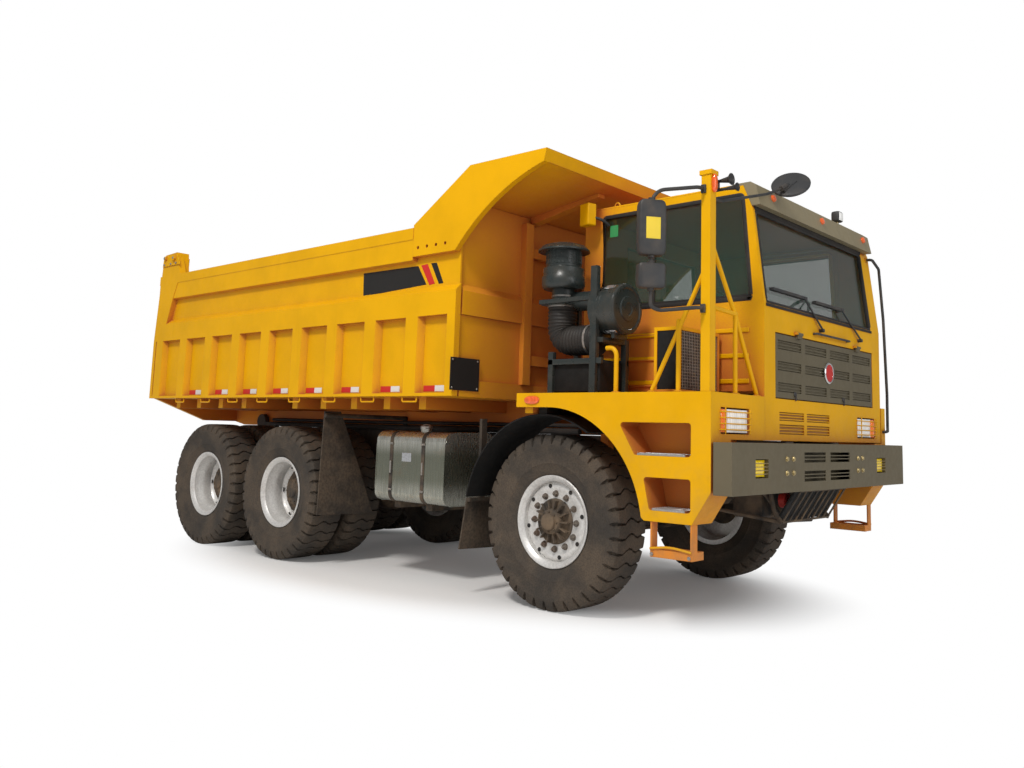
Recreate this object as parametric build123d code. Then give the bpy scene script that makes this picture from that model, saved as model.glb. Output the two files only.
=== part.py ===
"""Six-wheel wide-body mining dump truck: offset cab, right-hand walkway and a
rear-tipping rock body with a cab canopy.

Millimetres. X points forward, Y to the truck's left, Z up. The origin is on the
ground, at the middle of the truck's length and width.
"""
import math
import os

from build123d import *

# Fits: seated pieces stand a hair apart, turning ones have a running clearance
SEAT_GAP = 0.3
BEARING_GAP = 0.1

# Lengths along X
LENGTH = 8000
FRONT_OVERHANG = 1690
WHEELBASE = 3600
BOGIE_SPREAD = 1500
FRONT_X = LENGTH / 2
TAIL_X = -LENGTH / 2
AXLE1_X = FRONT_X - FRONT_OVERHANG
AXLE2_X = AXLE1_X - WHEELBASE
AXLE3_X = AXLE2_X - BOGIE_SPREAD
BOGIE_X = (AXLE2_X + AXLE3_X) / 2

# Tyres: the lugs' corners are on the tyre's radius, and slant across the tread
TYRE_R = 675
TYRE_W = 375
TYRE_BEAD_R = 318
TYRE_BEAD_SHARE = 0.66
TYRE_SHOULDER = 62
TREAD_HALF = TYRE_W / 2 - TYRE_SHOULDER * 0.45
LUG_COUNT = 36
LUG_DEPTH = 28
LUG_HALF_ANGLE = math.radians(3.7)
LUG_SLANT = math.radians(2.5)
LUG_RUN_OUT = 115
PLAIN_SIDES = 30
AXLE_Z = TYRE_R * math.cos(LUG_HALF_ANGLE - LUG_SLANT)
PLAIN_TYRE_R = AXLE_Z / math.cos(math.pi / PLAIN_SIDES)
FRONT_TRACK_HALF = 1200
OUTER_TWIN_Y = 1306
TWIN_SPACING = 460

# Wheels
RIM_R = 350
RIM_W = 300
RIM_BARREL_T = 44
RIM_LIP = 12
DISC_T = 22
DRUM_R = 210
PLANET_R = 176
CAP_R = 98
HUB_FIN = {"count": 12, "from": 92, "to": 168, "thick": 13, "high": 46}
HAND_HOLE = {"count": 8, "at": 258, "radius": 17}
FRONT_DISC_AT = 88
FRONT_DRUM_DEPTH = 235
TWIN_DISC_AT = 118

# Front axle and steering
SPINDLE_R = 55
KINGPIN_Y = 905
KINGPIN_R = 28
BOSS_R = 68
BOSS_PROUD = 15
BEAM_H = 105
BEAM_W = 110
YOKE_T = 46
YOKE_R = 62
PIN_GAP = 6
STEER_ARM = (-260, -50)

# Springs and driven axles
SPRING_W = 90
SPRING_T = 80
FRONT_SPRING_HALF = 750
FRONT_SPRING_Y = 415
REAR_SPRING_Y = 562
FRONT_SPRING_END_Z = 905
AXLE_PAD_H = 28
AXLE_TUBE_R = 92
BANJO_R = 235
BANJO_HALF = 150
BANJO_ROUND = 70
NOSE_REACH = 330
NOSE_R = 95
NOSE_Z = AXLE_Z + 20

# Drive line
PROP_R = 58
PROP_FLANGE_R = 75
PROP_FLANGE_T = 26
ENGINE_HALF = 320
ENGINE_X = (AXLE1_X - 300, AXLE1_X + 900)
ENGINE_Z = (950, 1640)
GEARBOX_HALF = 210
GEARBOX_REAR_X = AXLE1_X - 1150
GEARBOX_Z = 860
GEARBOX_TOP = 1230

# Chassis frame
RAIL_TOP = 1340
RAIL_H = 340
RAIL_OUT = 460
RAIL_FLANGE = 80
RAIL_T = 14
BUMPER_DEPTH = 137
FRAME_FRONT_X = FRONT_X - BUMPER_DEPTH - SEAT_GAP
PIVOT_X = AXLE3_X - 450
PIVOT_Z = 1395
PIVOT_R = 45
FRAME_REAR_X = PIVOT_X + 40
EAR_T = 50
EAR_GAP = 12
ENGINE_MOUNT_X = AXLE1_X + 250
CAB_MOUNT_X = (AXLE1_X - 90, AXLE1_X + 1220)
CAB_MOUNT_W = 80
HANGER_T = 40
HANGER_FOOT_Z = 890
BOGIE_TUBE_Z = 835
CROSSMEMBER_HALF = 40
CROSSMEMBERS = (
    # x, lower z, upper z
    (3690, 1020, 1320),
    (1090, 1020, 1320),
    (690, 1010, 1310),
    (-420, 1010, 1080),
    (-2040, 1010, 1310),
    (-3110, 1010, 1240),
)

# Bumper and the bars below it
BUMPER_HALF = 1560
BUMPER_BOTTOM = 985
BUMPER_TOP = 1328
BUMPER_WALL = 12
BUMPER_SLOTS = (
    # y from, y to
    (-489, -113),
    (-27, 350),
)
BUMPER_SLOT_Z = ((1192, 1266), (1055, 1131))
GUARD_Y = (-370, 470)
GUARD_BARS = 9
GUARD_FOOT = (AXLE1_X + 1450, 735)

# Dump body
BODY_HALF = 1560
BODY_OUT = 1620
BODY_FRONT_X = 1420
BODY_WALL = 20
BODY_BOTTOM = 1640
FLANGE_T = 28
FLOOR_TOP = 1780
BAND_BOTTOM = 2850
BAND_GROOVE = 3034
BODY_TOP = 3145
BELT_BOTTOM = 2335
BELT_TOP = 2540
BELT_SLOPE = 60
SILL_BOTTOM = 1352
SILL_HALF_IN = 375
SILL_HALF_OUT = 465
CROSSBEAM_H = 110
CROSSBEAM_HALF = 45
CROSSBEAM_PITCH = 490
TAIL_BEAM_HALF = 900
TAIL_BEAM_Z = 1392
TAIL_BEAM_T = 60
RIB_COUNT = 9
RIB_PITCH = 588
RIB_FIRST_X = 784
RIB_TOP_W = 160
RIB_FLANK = 30
ROPE_HOOK = {"wide": 188, "drop": 46, "radius": 8, "y": 1598}
POST_TOP = 3420
POST_IN = 1470
POST_PIN_IN = 1405
LUG_PLATE = {"x": (-3905, -3520), "z": (3262, 3402), "thick": 10}
POST_BOSSES = (
    # x, z, radius
    (-3826, 3362, 24),
    (-3610, 3350, 34),
)

# Front wall, gate and canopy
WALL_SET_BACK = 40
PANEL_SET_BACK = 20
STIFFENER_Y = (690, 790)
STIFFENER_OUT = 30
CROSS_CHANNELS = {"z": (1960, 2960), "high": 90, "out": 20}
GATE_HINGE_IN = 270
GATE_HINGE_Z = 3320
GATE_PIN_R = 30
GATE_GAP = 8
GATE_SKIN = (62, 82)
GATE_RIBS = {"count": 7, "pitch": 480, "wide": 90, "z": (FLOOR_TOP + GATE_GAP, 2380, BODY_TOP - 160)}
GATE_ARM_T = 40
CANOPY_TOP = 3600
CANOPY_FRONT_X = AXLE1_X + 80
CANOPY_LIP = 105
CANOPY_ROOT_Z = 3340
CANOPY_PLATE = 20
CANOPY_BACK_X = AXLE1_X - 1480
CANOPY_KNEE_X = AXLE1_X - 780
CANOPY_FOOT_Z = 2880
CANOPY_ARC_MID = (AXLE1_X - 480, 3262)
CANOPY_BEAM_Y = 640
CANOPY_HOLES = {"count": 4, "first": AXLE1_X - 1412, "pitch": 118, "z": 2957, "radius": 15}

# Hoist
HOIST_BASE_X = 560
HOIST_BASE_Z = 1080
HOIST_EYE_X = -1450
HOIST_EYE_Z = 1440
HOIST_Y = 200
HOIST_BORE_R = 85
HOIST_ROD_R = 55
HOIST_EAR_OFF = 80
HOIST_EAR_T = 20
HOIST_EAR_HALF = 44
HOIST_EAR_REAR_X = 655
HOIST_PIN_R = 32
HOIST_BARREL = 1500
HOIST_WALL = 15
HOIST_EYE_W = 96
HOIST_EYE_R = 70
HOIST_GLAND = 60

# Cab
CAB_REAR_X = AXLE1_X - 160
CAB_FRONT_X = AXLE1_X + 1530
CAB_RIGHT_Y = -800
CAB_LEFT_Y = 1460
CAB_FLOOR = 1700
CAB_ROOF = 3262
CAB_WALL = 55
CAB_SKIRT = 1345
CAB_APRON_T = 70
CAB_LEAN = 92
CAB_BROW = 170
SCREEN_SILL = 2350
SCREEN_HEAD = 3075
SCREEN_Y = (-765, 1262)
SCREEN_EDGE = 5
SCREEN_IN = 24
GLASS_T = 8
SIDE_WINDOW = {"rear": 35, "front": 1430, "sill": 2385, "head": 3195, "lean": 75}
REAR_WINDOW = {"y": (-250, 950), "z": (2500, 3050)}
SIDE_PANE_IN = 14
REAR_PANE_IN = 22
CAB_BEADS = {"z": (1749, 1957, 2158), "front": AXLE1_X + 580, "radius": 13}
VENTS = {"y": ((-563, -145), (-90, 331)), "z": ((1394, 1466), (1495, 1558)), "deep": 14, "slats": 3}
EYE_BOLT = {"x": AXLE1_X + 149, "in": 40, "ring": 24, "wire": 7}
DOOR_REAR_X = CAB_REAR_X + 420
DOOR_FRONT_X = CAB_REAR_X + 1340
DOOR_BOTTOM = 1790
DOOR_TOP = 3190
DOOR_GAP = 7
DOOR_FRAME = 70
DOOR_SILL = 2400
DOOR_HEAD = DOOR_TOP - 80
DOOR_HINGE_Z = (DOOR_BOTTOM + 180, DOOR_TOP - 240)
HINGE_OFFSET = 24
HINGE_PIN_R = 9
HINGE_PIN_H = 130
HINGE_EYE = (44, 120)
GRILLE_Y = (-617, 1273)
GRILLE_Z = (1664, 2143)
GRILLE_T = 32
GRILLE_DEPTH = 38
GRILLE_GAP = 8
GRILLE_GRID = (4, 3)
GRILLE_SLOT = {"side": 35, "foot": 45, "deep": 14, "bars": 3, "bar": 7}
GRILLE_HINGE_Y = (-250, 906)
GRILLE_PIN_X = CAB_FRONT_X + 20
GRILLE_PIN_Z = GRILLE_Z[1] + 24
GRILLE_PIN_R = 7
HANDRAIL_TOP = (AXLE1_X + 1450, 1405, 3040)
HANDRAIL_R = 13
SCREEN_BAR = {"y": (40, 700), "z": 2203, "out": 34, "radius": 9}
WIPER_REACH = 38
WIPERS = (
    # pivot y, pivot z, elbow y, elbow z, blade end y
    (164, 2240, -119, 2481, -642),
    (963, 2235, 609, 2474, 102),
)

# Walkway, skirts and steps
DECK_RIGHT_Y = -1560
DECK_TOP = 1660
DECK_T = 100
DECK_REAR_X = AXLE1_X - 210
DECK_FRONT_X = AXLE1_X + 1535
DECK_FACE_T = 40
ARCH_R = 880
ARCH_X = AXLE1_X + 117
ARCH_Z = 671
ARCH_MID_ANGLE = 48
SKIRT_FRONT_X = AXLE1_X + 1392
SKIRT_BOTTOM = 780
SKIRT_CHAMFER_Z = 1000
SKIRT_DEPTH = 260
SKIRT_PLATE = 30
POCKET_DEPTH = 225
POCKET_FRONT_X = AXLE1_X + 1382
POCKET_ROUND = 22
POCKETS = (
    # lower z, upper z, clear of the arch's edge at the foot and at the head
    (1222, 1448, 122, 255),
    (854, 1075, 77, 103),
)
TREAD_PLATE_T = 14
OUTRIGGER_X = (AXLE1_X - 150, AXLE1_X + 1040)
OUTRIGGER_W = 80
OUTRIGGER_FOOT_Z = 1120
OUTRIGGER_ARM_Z = 1505
STEP = {"x": (AXLE1_X + 1064, AXLE1_X + 1392), "z": (545, 600), "strap": 12, "deep": 150}
LINER_R = 815
LINER_T = 12
LINER_W = 480
LINER_Y = 1010

# Post, rails and mirrors
POST_X = AXLE1_X + 1450
POST_W = 72
POST_CAP = (3140, 3172)
POST_IN_Y = 4
BRACE_R = 16
BRACE_X = POST_X + 36
GRAB_TUBE = {"x": AXLE1_X + 697, "y": -1480, "top": 1990, "end": AXLE1_X + 606, "radius": 17}
MIRROR_Y = 1890
MIRROR_TURN = 38
MIRROR_SIZE = (90, 190, 380)
MIRROR_ARM_R = 13
DISH_MIRROR = {"at": (AXLE1_X + 1610, -515, 3292), "facing": (0.27, -0.74, 0.62), "radius": 148, "thick": 36}
HORNS = (
    # y, z, length, bell radius
    (-1420, 3120, 215, 42),
    (-1420, 3058, 260, 30),
)

# Air intake, filter and cooler box
INTAKE_X = AXLE1_X - 105
INTAKE_Y = -1160
INTAKE_NECK_R = 125
INTAKE_HOSE_R = 105
ELBOW_Z = 2160
FILTER_BACK_X = AXLE1_X + 120
FILTER_LEN = 440
FILTER_Z = 2325
FILTER_R = 200
SHELF_Z = 2050
STAND_LEG = 50
STAND_POST = 34
CLAMP_Z = (2430, 2470)
COOLER = {"x": (AXLE1_X + 968, AXLE1_X + 1182), "y": (-1395, CAB_RIGHT_Y - 40), "top": 2132, "edge": 26}

# Tank, stores and flaps
TANK = {"x": (AXLE1_X - 2210, AXLE1_X - 1265), "y": (-1325, -700), "z": (690, 1332)}
TANK_ROUND = 85
TANK_CAP = {"x": AXLE1_X - 1665, "in": 130, "radius": 52, "high": 34}
STRAP_X = (AXLE1_X - 2010, AXLE1_X - 1570)
STRAP_W = 42
STRAP_T = 5
BATTERY_X = AXLE1_X - 1750
AIR_TANKS = {"z": (860, 1130), "radius": 122, "y": 900}
FLAP_T = 14
MID_FLAP_X = AXLE1_X - 2850
FRONT_FLAP_X = AXLE1_X - 885

# Lamps
HEADLAMP = {"right": (-1429, -1048), "left": (923, 1304), "z": (1388, 1556)}
FOG = {"right": (-1237, -1058), "left": (933, 1126), "z": (1097, 1216)}
LAMP_POCKET = 60
LAMP_GAP = 5
LAMP_PROUD = 14
VISOR_FACE = ((CAB_FRONT_X - 30, 3095), (CAB_FRONT_X - 65, 3250))
VISOR_TOP = 3282
MARKERS = {"y": (-549, 344, 1237), "z": 3195, "radius": 28, "proud": 22}
WORK_LAMP = {"x": AXLE1_X + 1372, "y": 925, "size": (90, 110, 100), "stem": 34}
SIDE_LAMP = {"x": AXLE1_X - 47, "z": 1605, "size": (92, 14, 46)}
POST_LAMP = {"z": 3082, "size": (26, 50, 112)}


# Shapes

def block(x0, x1, y0, y1, z0, z1):
    """Box between two corners."""
    size = (x1 - x0, y1 - y0, z1 - z0)
    middle = ((x0 + x1) / 2, (y0 + y1) / 2, (z0 + z1) / 2)
    return Pos(*middle) * Box(*size)


def side_plate(points, y0, y1):
    """Outline in X and Z, carried along Y from y0 to y1."""
    face = Polyline([(x, y0, z) for x, z in points], close=True)
    return extrude(make_face(face), amount=y1 - y0, dir=(0, 1, 0))


def front_plate(points, x0, x1):
    """Outline in Y and Z, carried along X from x0 to x1."""
    face = Polyline([(x0, y, z) for y, z in points], close=True)
    return extrude(make_face(face), amount=x1 - x0, dir=(1, 0, 0))


def plan_plate(points, z0, z1):
    """Outline in X and Y, carried along Z from z0 to z1."""
    face = Polyline([(x, y, z0) for x, y in points], close=True)
    return extrude(make_face(face), amount=z1 - z0, dir=(0, 0, 1))


def rod(start, end, radius):
    """Round bar between two points."""
    axis = Vector(*end) - Vector(*start)
    plane = Plane(origin=start, z_dir=axis.normalized())
    return plane * Pos(0, 0, axis.length / 2) * Cylinder(radius, axis.length)


def rod_y(x, y0, y1, z, radius):
    """Round bar along Y."""
    return rod((x, y0, z), (x, y1, z), radius)


def bent_bar(points, radius, bend):
    """Round bar along straight runs with rounded corners."""
    path = FilletPolyline(*points, radius=bend)
    section = Plane(origin=path @ 0, z_dir=path % 0) * Circle(radius)
    return sweep(section, path=path)


def lens(middle, size, rounding):
    """Small lamp body with its edges rounded."""
    body = Box(*size)
    return Pos(*middle) * fillet(body.edges(), rounding)


def mirrored(shape):
    """The same piece on the truck's other side."""
    return mirror(shape, about=Plane.XZ)


def both_sides(shape):
    """A piece and its mirror image, as separate solids."""
    return [shape, mirrored(shape)]


def solid_of(faces):
    """Solid from flat faces given as lists of corners."""
    flat = [Face(Wire.make_polygon([Vector(*corner) for corner in face])) for face in faces]
    solid = Solid(Shell(flat))
    if solid.volume < 0:
        solid = Solid(Shell([-face for face in flat]))
    return solid


def ring_point(centre, radius, y, angle):
    """Point on a circle about Y, with angle 0 at the bottom."""
    return (centre[0] + radius * math.sin(angle), centre[1] + y, centre[2] - radius * math.cos(angle))


def faceted_ring(profile, sides, centre, flat_down):
    """Solid of revolution about Y with flat facets, from (radius, y) points."""
    turn = math.pi / sides if flat_down else 0
    rings = []
    for radius, y in profile:
        rings.append([ring_point(centre, radius, y, 2 * math.pi * k / sides + turn) for k in range(sides)])
    faces = []
    for near, far in zip(rings, rings[1:] + rings[:1]):
        for k in range(sides):
            m = (k + 1) % sides
            faces.append([near[k], near[m], far[m], far[k]])
    return solid_of(faces)


def save(node, shapes):
    """Writes one node; a list of shapes stays separate solids."""
    if isinstance(shapes, (list, tuple)):
        solids = []
        for shape in shapes:
            solids.extend(shape.solids())
        shapes = Compound(children=solids)
    export_step(shapes, f"parts/{node}.step")


# Wheels

def lugged_tyre(centre):
    """Tyre whose lugs slant across the tread and run out on the shoulders."""
    pitch = 2 * math.pi / LUG_COUNT
    bead_y = TYRE_W / 2 * TYRE_BEAD_SHARE
    faces = []
    for k in range(LUG_COUNT):
        angle, after = k * pitch, (k + 1) * pitch
        rows = {}
        for side in (-1, 1):
            y, lean = side * TREAD_HALF, side * LUG_SLANT
            start = ring_point(centre, TYRE_R, y, angle - LUG_HALF_ANGLE + lean)
            end = ring_point(centre, TYRE_R, y, angle + LUG_HALF_ANGLE + lean)
            groove = ring_point(centre, TYRE_R - LUG_DEPTH, y, angle + pitch / 2 + lean)
            following = ring_point(centre, TYRE_R, y, after - LUG_HALF_ANGLE + lean)
            rows[side] = (start, end, groove, following)
            wall = [ring_point(centre, TYRE_R - LUG_RUN_OUT, side * TYRE_W / 2, a) for a in (angle, after)]
            bead = [ring_point(centre, TYRE_BEAD_R, side * bead_y, a) for a in (angle, after)]
            fans = [(wall[0], start, end), (wall[0], end, groove), (wall[0], groove, wall[1]),
                    (wall[1], groove, following), (bead[0], wall[0], wall[1], bead[1])]
            faces += [fan if side > 0 else fan[::-1] for fan in fans]
        for j in range(3):
            near, far = rows[-1], rows[1]
            faces += [(near[j], near[j + 1], far[j + 1]), (near[j], far[j + 1], far[j])]
        inner = [ring_point(centre, TYRE_BEAD_R, side * bead_y, a)
                 for side, a in ((-1, after), (-1, angle), (1, angle), (1, after))]
        faces.append(inner)
    return solid_of(faces)


def plain_tyre(centre):
    """Inner tyre of a twin, plain because the outer one hides it."""
    half, low = TYRE_W / 2, PLAIN_TYRE_R - LUG_RUN_OUT
    profile = [(TYRE_BEAD_R, -half * TYRE_BEAD_SHARE), (low, -half), (PLAIN_TYRE_R, -TREAD_HALF),
               (PLAIN_TYRE_R, TREAD_HALF), (low, half), (TYRE_BEAD_R, half * TYRE_BEAD_SHARE)]
    return faceted_ring(profile, PLAIN_SIDES, centre, flat_down=True)


def rim(centre, outward, disc_at, sides, flat_down):
    """Rim barrel with flanges; its disc stands disc_at outboard of the middle."""
    half = RIM_W / 2
    inner = RIM_R - RIM_BARREL_T
    seat = TYRE_BEAD_R - BEARING_GAP
    low, high = sorted((outward * disc_at, outward * (disc_at - DISC_T)))
    profile = [
        (RIM_R, -half), (RIM_R, -half + RIM_LIP), (seat, -half + RIM_LIP), (seat, half - RIM_LIP),
        (RIM_R, half - RIM_LIP), (RIM_R, half),
        (inner, half), (inner, high), (DRUM_R, high), (DRUM_R, low), (inner, low), (inner, -half),
    ]
    return faceted_ring(profile, sides, centre, flat_down)


def hand_holes(x, y0, y1):
    """Round holes through a wheel disc, as the tools that cut them."""
    holes = []
    for k in range(HAND_HOLE["count"]):
        angle = 2 * math.pi * (k + 0.5) / HAND_HOLE["count"]
        hole_x, hole_z = x + HAND_HOLE["at"] * math.cos(angle), AXLE_Z + HAND_HOLE["at"] * math.sin(angle)
        holes.append(rod_y(hole_x, y0, y1, hole_z, HAND_HOLE["radius"]))
    return holes


def hub_end(x, y, side, cap):
    """Finned hub end and its cap, standing outboard of the drum's face at y."""
    end = rod_y(x, y, y + side * 34, AXLE_Z, PLANET_R) + rod_y(x, y, y + side * cap, AXLE_Z, CAP_R)
    reach, middle = HUB_FIN["to"] - HUB_FIN["from"], (HUB_FIN["to"] + HUB_FIN["from"]) / 2
    for k in range(HUB_FIN["count"]):
        turn = Pos(x, y + side * 33, AXLE_Z) * Rot(0, 360 * k / HUB_FIN["count"], 0)
        fin = Box(reach, HUB_FIN["high"], HUB_FIN["thick"])
        end += turn * Pos(middle, side * HUB_FIN["high"] / 2, 0) * fin
    return end


def front_wheel(side):
    """Tyre and wheel of the steered axle; side is -1 right or 1 left."""
    centre = (AXLE1_X, side * FRONT_TRACK_HALF, AXLE_Z)
    face = centre[1] + side * FRONT_DISC_AT
    back = face - side * FRONT_DRUM_DEPTH
    wheel = rim(centre, side, FRONT_DISC_AT, LUG_COUNT, flat_down=False)
    for hole in hand_holes(AXLE1_X, face + side, face - side * (DISC_T + 1)):
        wheel -= hole
    drum = rod_y(AXLE1_X, back, face + side * 8, AXLE_Z, DRUM_R - 0.5)
    drum += hub_end(AXLE1_X, face + side * 7, side, 96)
    drum -= rod_y(AXLE1_X, back - side, face - side * 60, AXLE_Z, SPINDLE_R + BEARING_GAP)
    return [lugged_tyre(centre)], [wheel + drum]


def twin_wheels(axle_x, side):
    """The two tyres and the joined wheels on one end of a driven axle."""
    outer = (axle_x, side * OUTER_TWIN_Y, AXLE_Z)
    inner = (axle_x, side * (OUTER_TWIN_Y - TWIN_SPACING), AXLE_Z)
    face = outer[1] - side * TWIN_DISC_AT
    back = inner[1] + side * (TWIN_DISC_AT - 40)
    wheels = rim(outer, side, -TWIN_DISC_AT, LUG_COUNT, flat_down=False)
    for hole in hand_holes(axle_x, face + side, face - side * (DISC_T + 1)):
        wheels -= hole
    wheels += rim(inner, -side, -TWIN_DISC_AT, PLAIN_SIDES, flat_down=True)
    drum = rod_y(axle_x, back, face + side * 30, AXLE_Z, DRUM_R)
    drum += hub_end(axle_x, face + side * 29, side, 92)
    drum -= rod_y(axle_x, back - side, back + side * 90, AXLE_Z, AXLE_TUBE_R + BEARING_GAP)
    return [lugged_tyre(outer), plain_tyre(inner)], [wheels + drum]


# Axles and steering

def front_axle_beam():
    """Forged beam with a boss and kingpin at each end."""
    top, low = AXLE_Z + BEAM_H / 2, AXLE_Z - BEAM_H / 2
    beam = block(AXLE1_X - BEAM_W / 2, AXLE1_X + BEAM_W / 2, -KINGPIN_Y, KINGPIN_Y, low, top)
    pin_reach = BOSS_PROUD + YOKE_T + PIN_GAP
    for side in (-1, 1):
        y = side * KINGPIN_Y
        beam += rod((AXLE1_X, y, low - BOSS_PROUD), (AXLE1_X, y, top + BOSS_PROUD), BOSS_R)
        beam += rod((AXLE1_X, y, low - pin_reach), (AXLE1_X, y, top + pin_reach), KINGPIN_R)
    return beam


def knuckle(side):
    """Yoke round the kingpin, with the wheel's spindle and a steering arm."""
    top = AXLE_Z + BEAM_H / 2 + BOSS_PROUD + PIN_GAP
    bottom = AXLE_Z - BEAM_H / 2 - BOSS_PROUD - PIN_GAP
    plate_y = KINGPIN_Y + BOSS_R + 8
    hub_face = FRONT_TRACK_HALF + FRONT_DISC_AT - 61
    body = block(AXLE1_X - 85, AXLE1_X + 85, plate_y, plate_y + 32, bottom - YOKE_T, top + YOKE_T)
    for z0, z1 in ((top, top + YOKE_T), (bottom - YOKE_T, bottom)):
        body += block(AXLE1_X - YOKE_R, AXLE1_X + YOKE_R, KINGPIN_Y, plate_y + 1, z0, z1)
        body += rod((AXLE1_X, KINGPIN_Y, z0), (AXLE1_X, KINGPIN_Y, z1), YOKE_R)
        body -= rod((AXLE1_X, KINGPIN_Y, z0 - 1), (AXLE1_X, KINGPIN_Y, z1 + 1), KINGPIN_R + BEARING_GAP)
    body += rod_y(AXLE1_X, plate_y + 10, hub_face, AXLE_Z, SPINDLE_R)
    arm_z = bottom - YOKE_T
    body += block(AXLE1_X + STEER_ARM[0], AXLE1_X + STEER_ARM[1], KINGPIN_Y - 30, KINGPIN_Y + 30,
                  arm_z, arm_z + 30)
    return body if side > 0 else mirrored(body)


def leaf_pack(x, y, half, end_z, mid_z):
    """Curved pack of leaves, as one thick arc whose underside passes three points."""
    end_t = SPRING_T * 0.7
    low = ThreePointArc((x - half, y, end_z), (x, y, mid_z), (x + half, y, end_z))
    high = ThreePointArc((x + half, y, end_z + end_t), (x, y, mid_z + SPRING_T), (x - half, y, end_z + end_t))
    face = make_face([low, Line(low @ 1, high @ 0), high, Line(high @ 1, low @ 0)])
    return extrude(face, amount=SPRING_W / 2, both=True)


def springs():
    """Front packs on the beam, rear packs across the two driven axles."""
    front = leaf_pack(AXLE1_X, FRONT_SPRING_Y, FRONT_SPRING_HALF, FRONT_SPRING_END_Z,
                      AXLE_Z + BEAM_H / 2 + BEARING_GAP)
    seat = AXLE_Z + AXLE_TUBE_R + AXLE_PAD_H + BEARING_GAP
    rear = leaf_pack(BOGIE_X, REAR_SPRING_Y, BOGIE_SPREAD / 2 + 60, seat - 14, seat + 70)
    return both_sides(front) + both_sides(rear)


def driven_axle(axle_x):
    """Banjo housing with its nose, tubes and spring pads."""
    inner_end = OUTER_TWIN_Y - TWIN_SPACING + TWIN_DISC_AT - 40 + 80
    housing = rod_y(axle_x, -inner_end, inner_end, AXLE_Z, AXLE_TUBE_R)
    banjo = rod((axle_x - BANJO_HALF, 0, AXLE_Z), (axle_x + BANJO_HALF, 0, AXLE_Z), BANJO_R)
    housing += fillet(banjo.edges().filter_by(GeomType.CIRCLE), BANJO_ROUND)
    housing += rod((axle_x + 120, 0, NOSE_Z), (axle_x + NOSE_REACH, 0, NOSE_Z), NOSE_R)
    for side in (-1, 1):
        y = side * REAR_SPRING_Y
        housing += block(axle_x - 60, axle_x + 60, y - SPRING_W / 2, y + SPRING_W / 2,
                         AXLE_Z, AXLE_Z + AXLE_TUBE_R + AXLE_PAD_H - 14 - SEAT_GAP)
    return housing


def propshafts():
    """Shaft from the gearbox to the middle axle, and on to the rear axle."""
    front_x = GEARBOX_REAR_X - SEAT_GAP
    rear_x = AXLE2_X + NOSE_REACH + SEAT_GAP
    half = PROP_FLANGE_T / 2
    first = rod((front_x - half, 0, GEARBOX_Z), (rear_x + half, 0, NOSE_Z), PROP_R)
    first += rod((front_x, 0, GEARBOX_Z), (front_x - PROP_FLANGE_T, 0, GEARBOX_Z), PROP_FLANGE_R)
    first += rod((rear_x, 0, NOSE_Z), (rear_x + PROP_FLANGE_T, 0, NOSE_Z), PROP_FLANGE_R)
    tail = AXLE2_X - BANJO_HALF
    second = rod((tail - SEAT_GAP, 0, NOSE_Z), (AXLE3_X + NOSE_REACH + SEAT_GAP, 0, NOSE_Z), PROP_R)
    return [first, second]


def engine_block():
    """Engine and gearbox as plain masses at their real place."""
    engine = block(*ENGINE_X, -ENGINE_HALF, ENGINE_HALF, *ENGINE_Z)
    return engine + block(GEARBOX_REAR_X, ENGINE_X[0] + 1, -GEARBOX_HALF, GEARBOX_HALF,
                          GEARBOX_Z - 120, GEARBOX_TOP)


# Chassis frame

def left_rail():
    """Left channel rail with its spring hangers, mounts and the body's pivot ear."""
    z0, z1 = RAIL_TOP - RAIL_H, RAIL_TOP
    inner = RAIL_OUT - RAIL_FLANGE
    rail = block(FRAME_REAR_X, FRAME_FRONT_X, inner, RAIL_OUT, z0, z1)
    rail -= block(FRAME_REAR_X - 1, FRAME_FRONT_X + 1, inner - 1, RAIL_OUT - RAIL_T, z0 + RAIL_T, z1 - RAIL_T)
    for x in (AXLE1_X - FRONT_SPRING_HALF - HANGER_T - SEAT_GAP, AXLE1_X + FRONT_SPRING_HALF + SEAT_GAP):
        rail += block(x, x + HANGER_T, inner, RAIL_OUT, HANGER_FOOT_Z, z0 + RAIL_T)
    for x in CAB_MOUNT_X:
        rail += block(x, x + CAB_MOUNT_W, inner, RAIL_OUT, z1 - 1, CAB_FLOOR - SEAT_GAP)
    rail += block(ENGINE_MOUNT_X, ENGINE_MOUNT_X + 120, ENGINE_HALF + SEAT_GAP, RAIL_OUT - 1, 1120, 1240)
    bracket_y = REAR_SPRING_Y - SPRING_W / 2 - 8
    saddle_top = AXLE_Z + AXLE_TUBE_R + AXLE_PAD_H + 70
    saddle_y = REAR_SPRING_Y + SPRING_W / 2
    rail += block(BOGIE_X - 170, BOGIE_X + 170, RAIL_OUT - RAIL_T, bracket_y, 690, 1240)
    rail += block(BOGIE_X - 110, BOGIE_X + 110, bracket_y - 1, saddle_y, 700, saddle_top - 10)
    rail += block(BOGIE_X - 60, BOGIE_X + 60, bracket_y - 1, saddle_y, 700, saddle_top - 0.6)
    ear_in = SILL_HALF_OUT + EAR_GAP
    rail += block(FRAME_REAR_X, PIVOT_X + 330, RAIL_OUT - 1, ear_in + 1, z0 + 40, z1)
    rail += block(PIVOT_X - 10, PIVOT_X + 330, ear_in, ear_in + EAR_T, z0 + 40, PIVOT_Z)
    return rail + rod_y(PIVOT_X, ear_in, ear_in + EAR_T, PIVOT_Z, PIVOT_R + 50)


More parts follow.
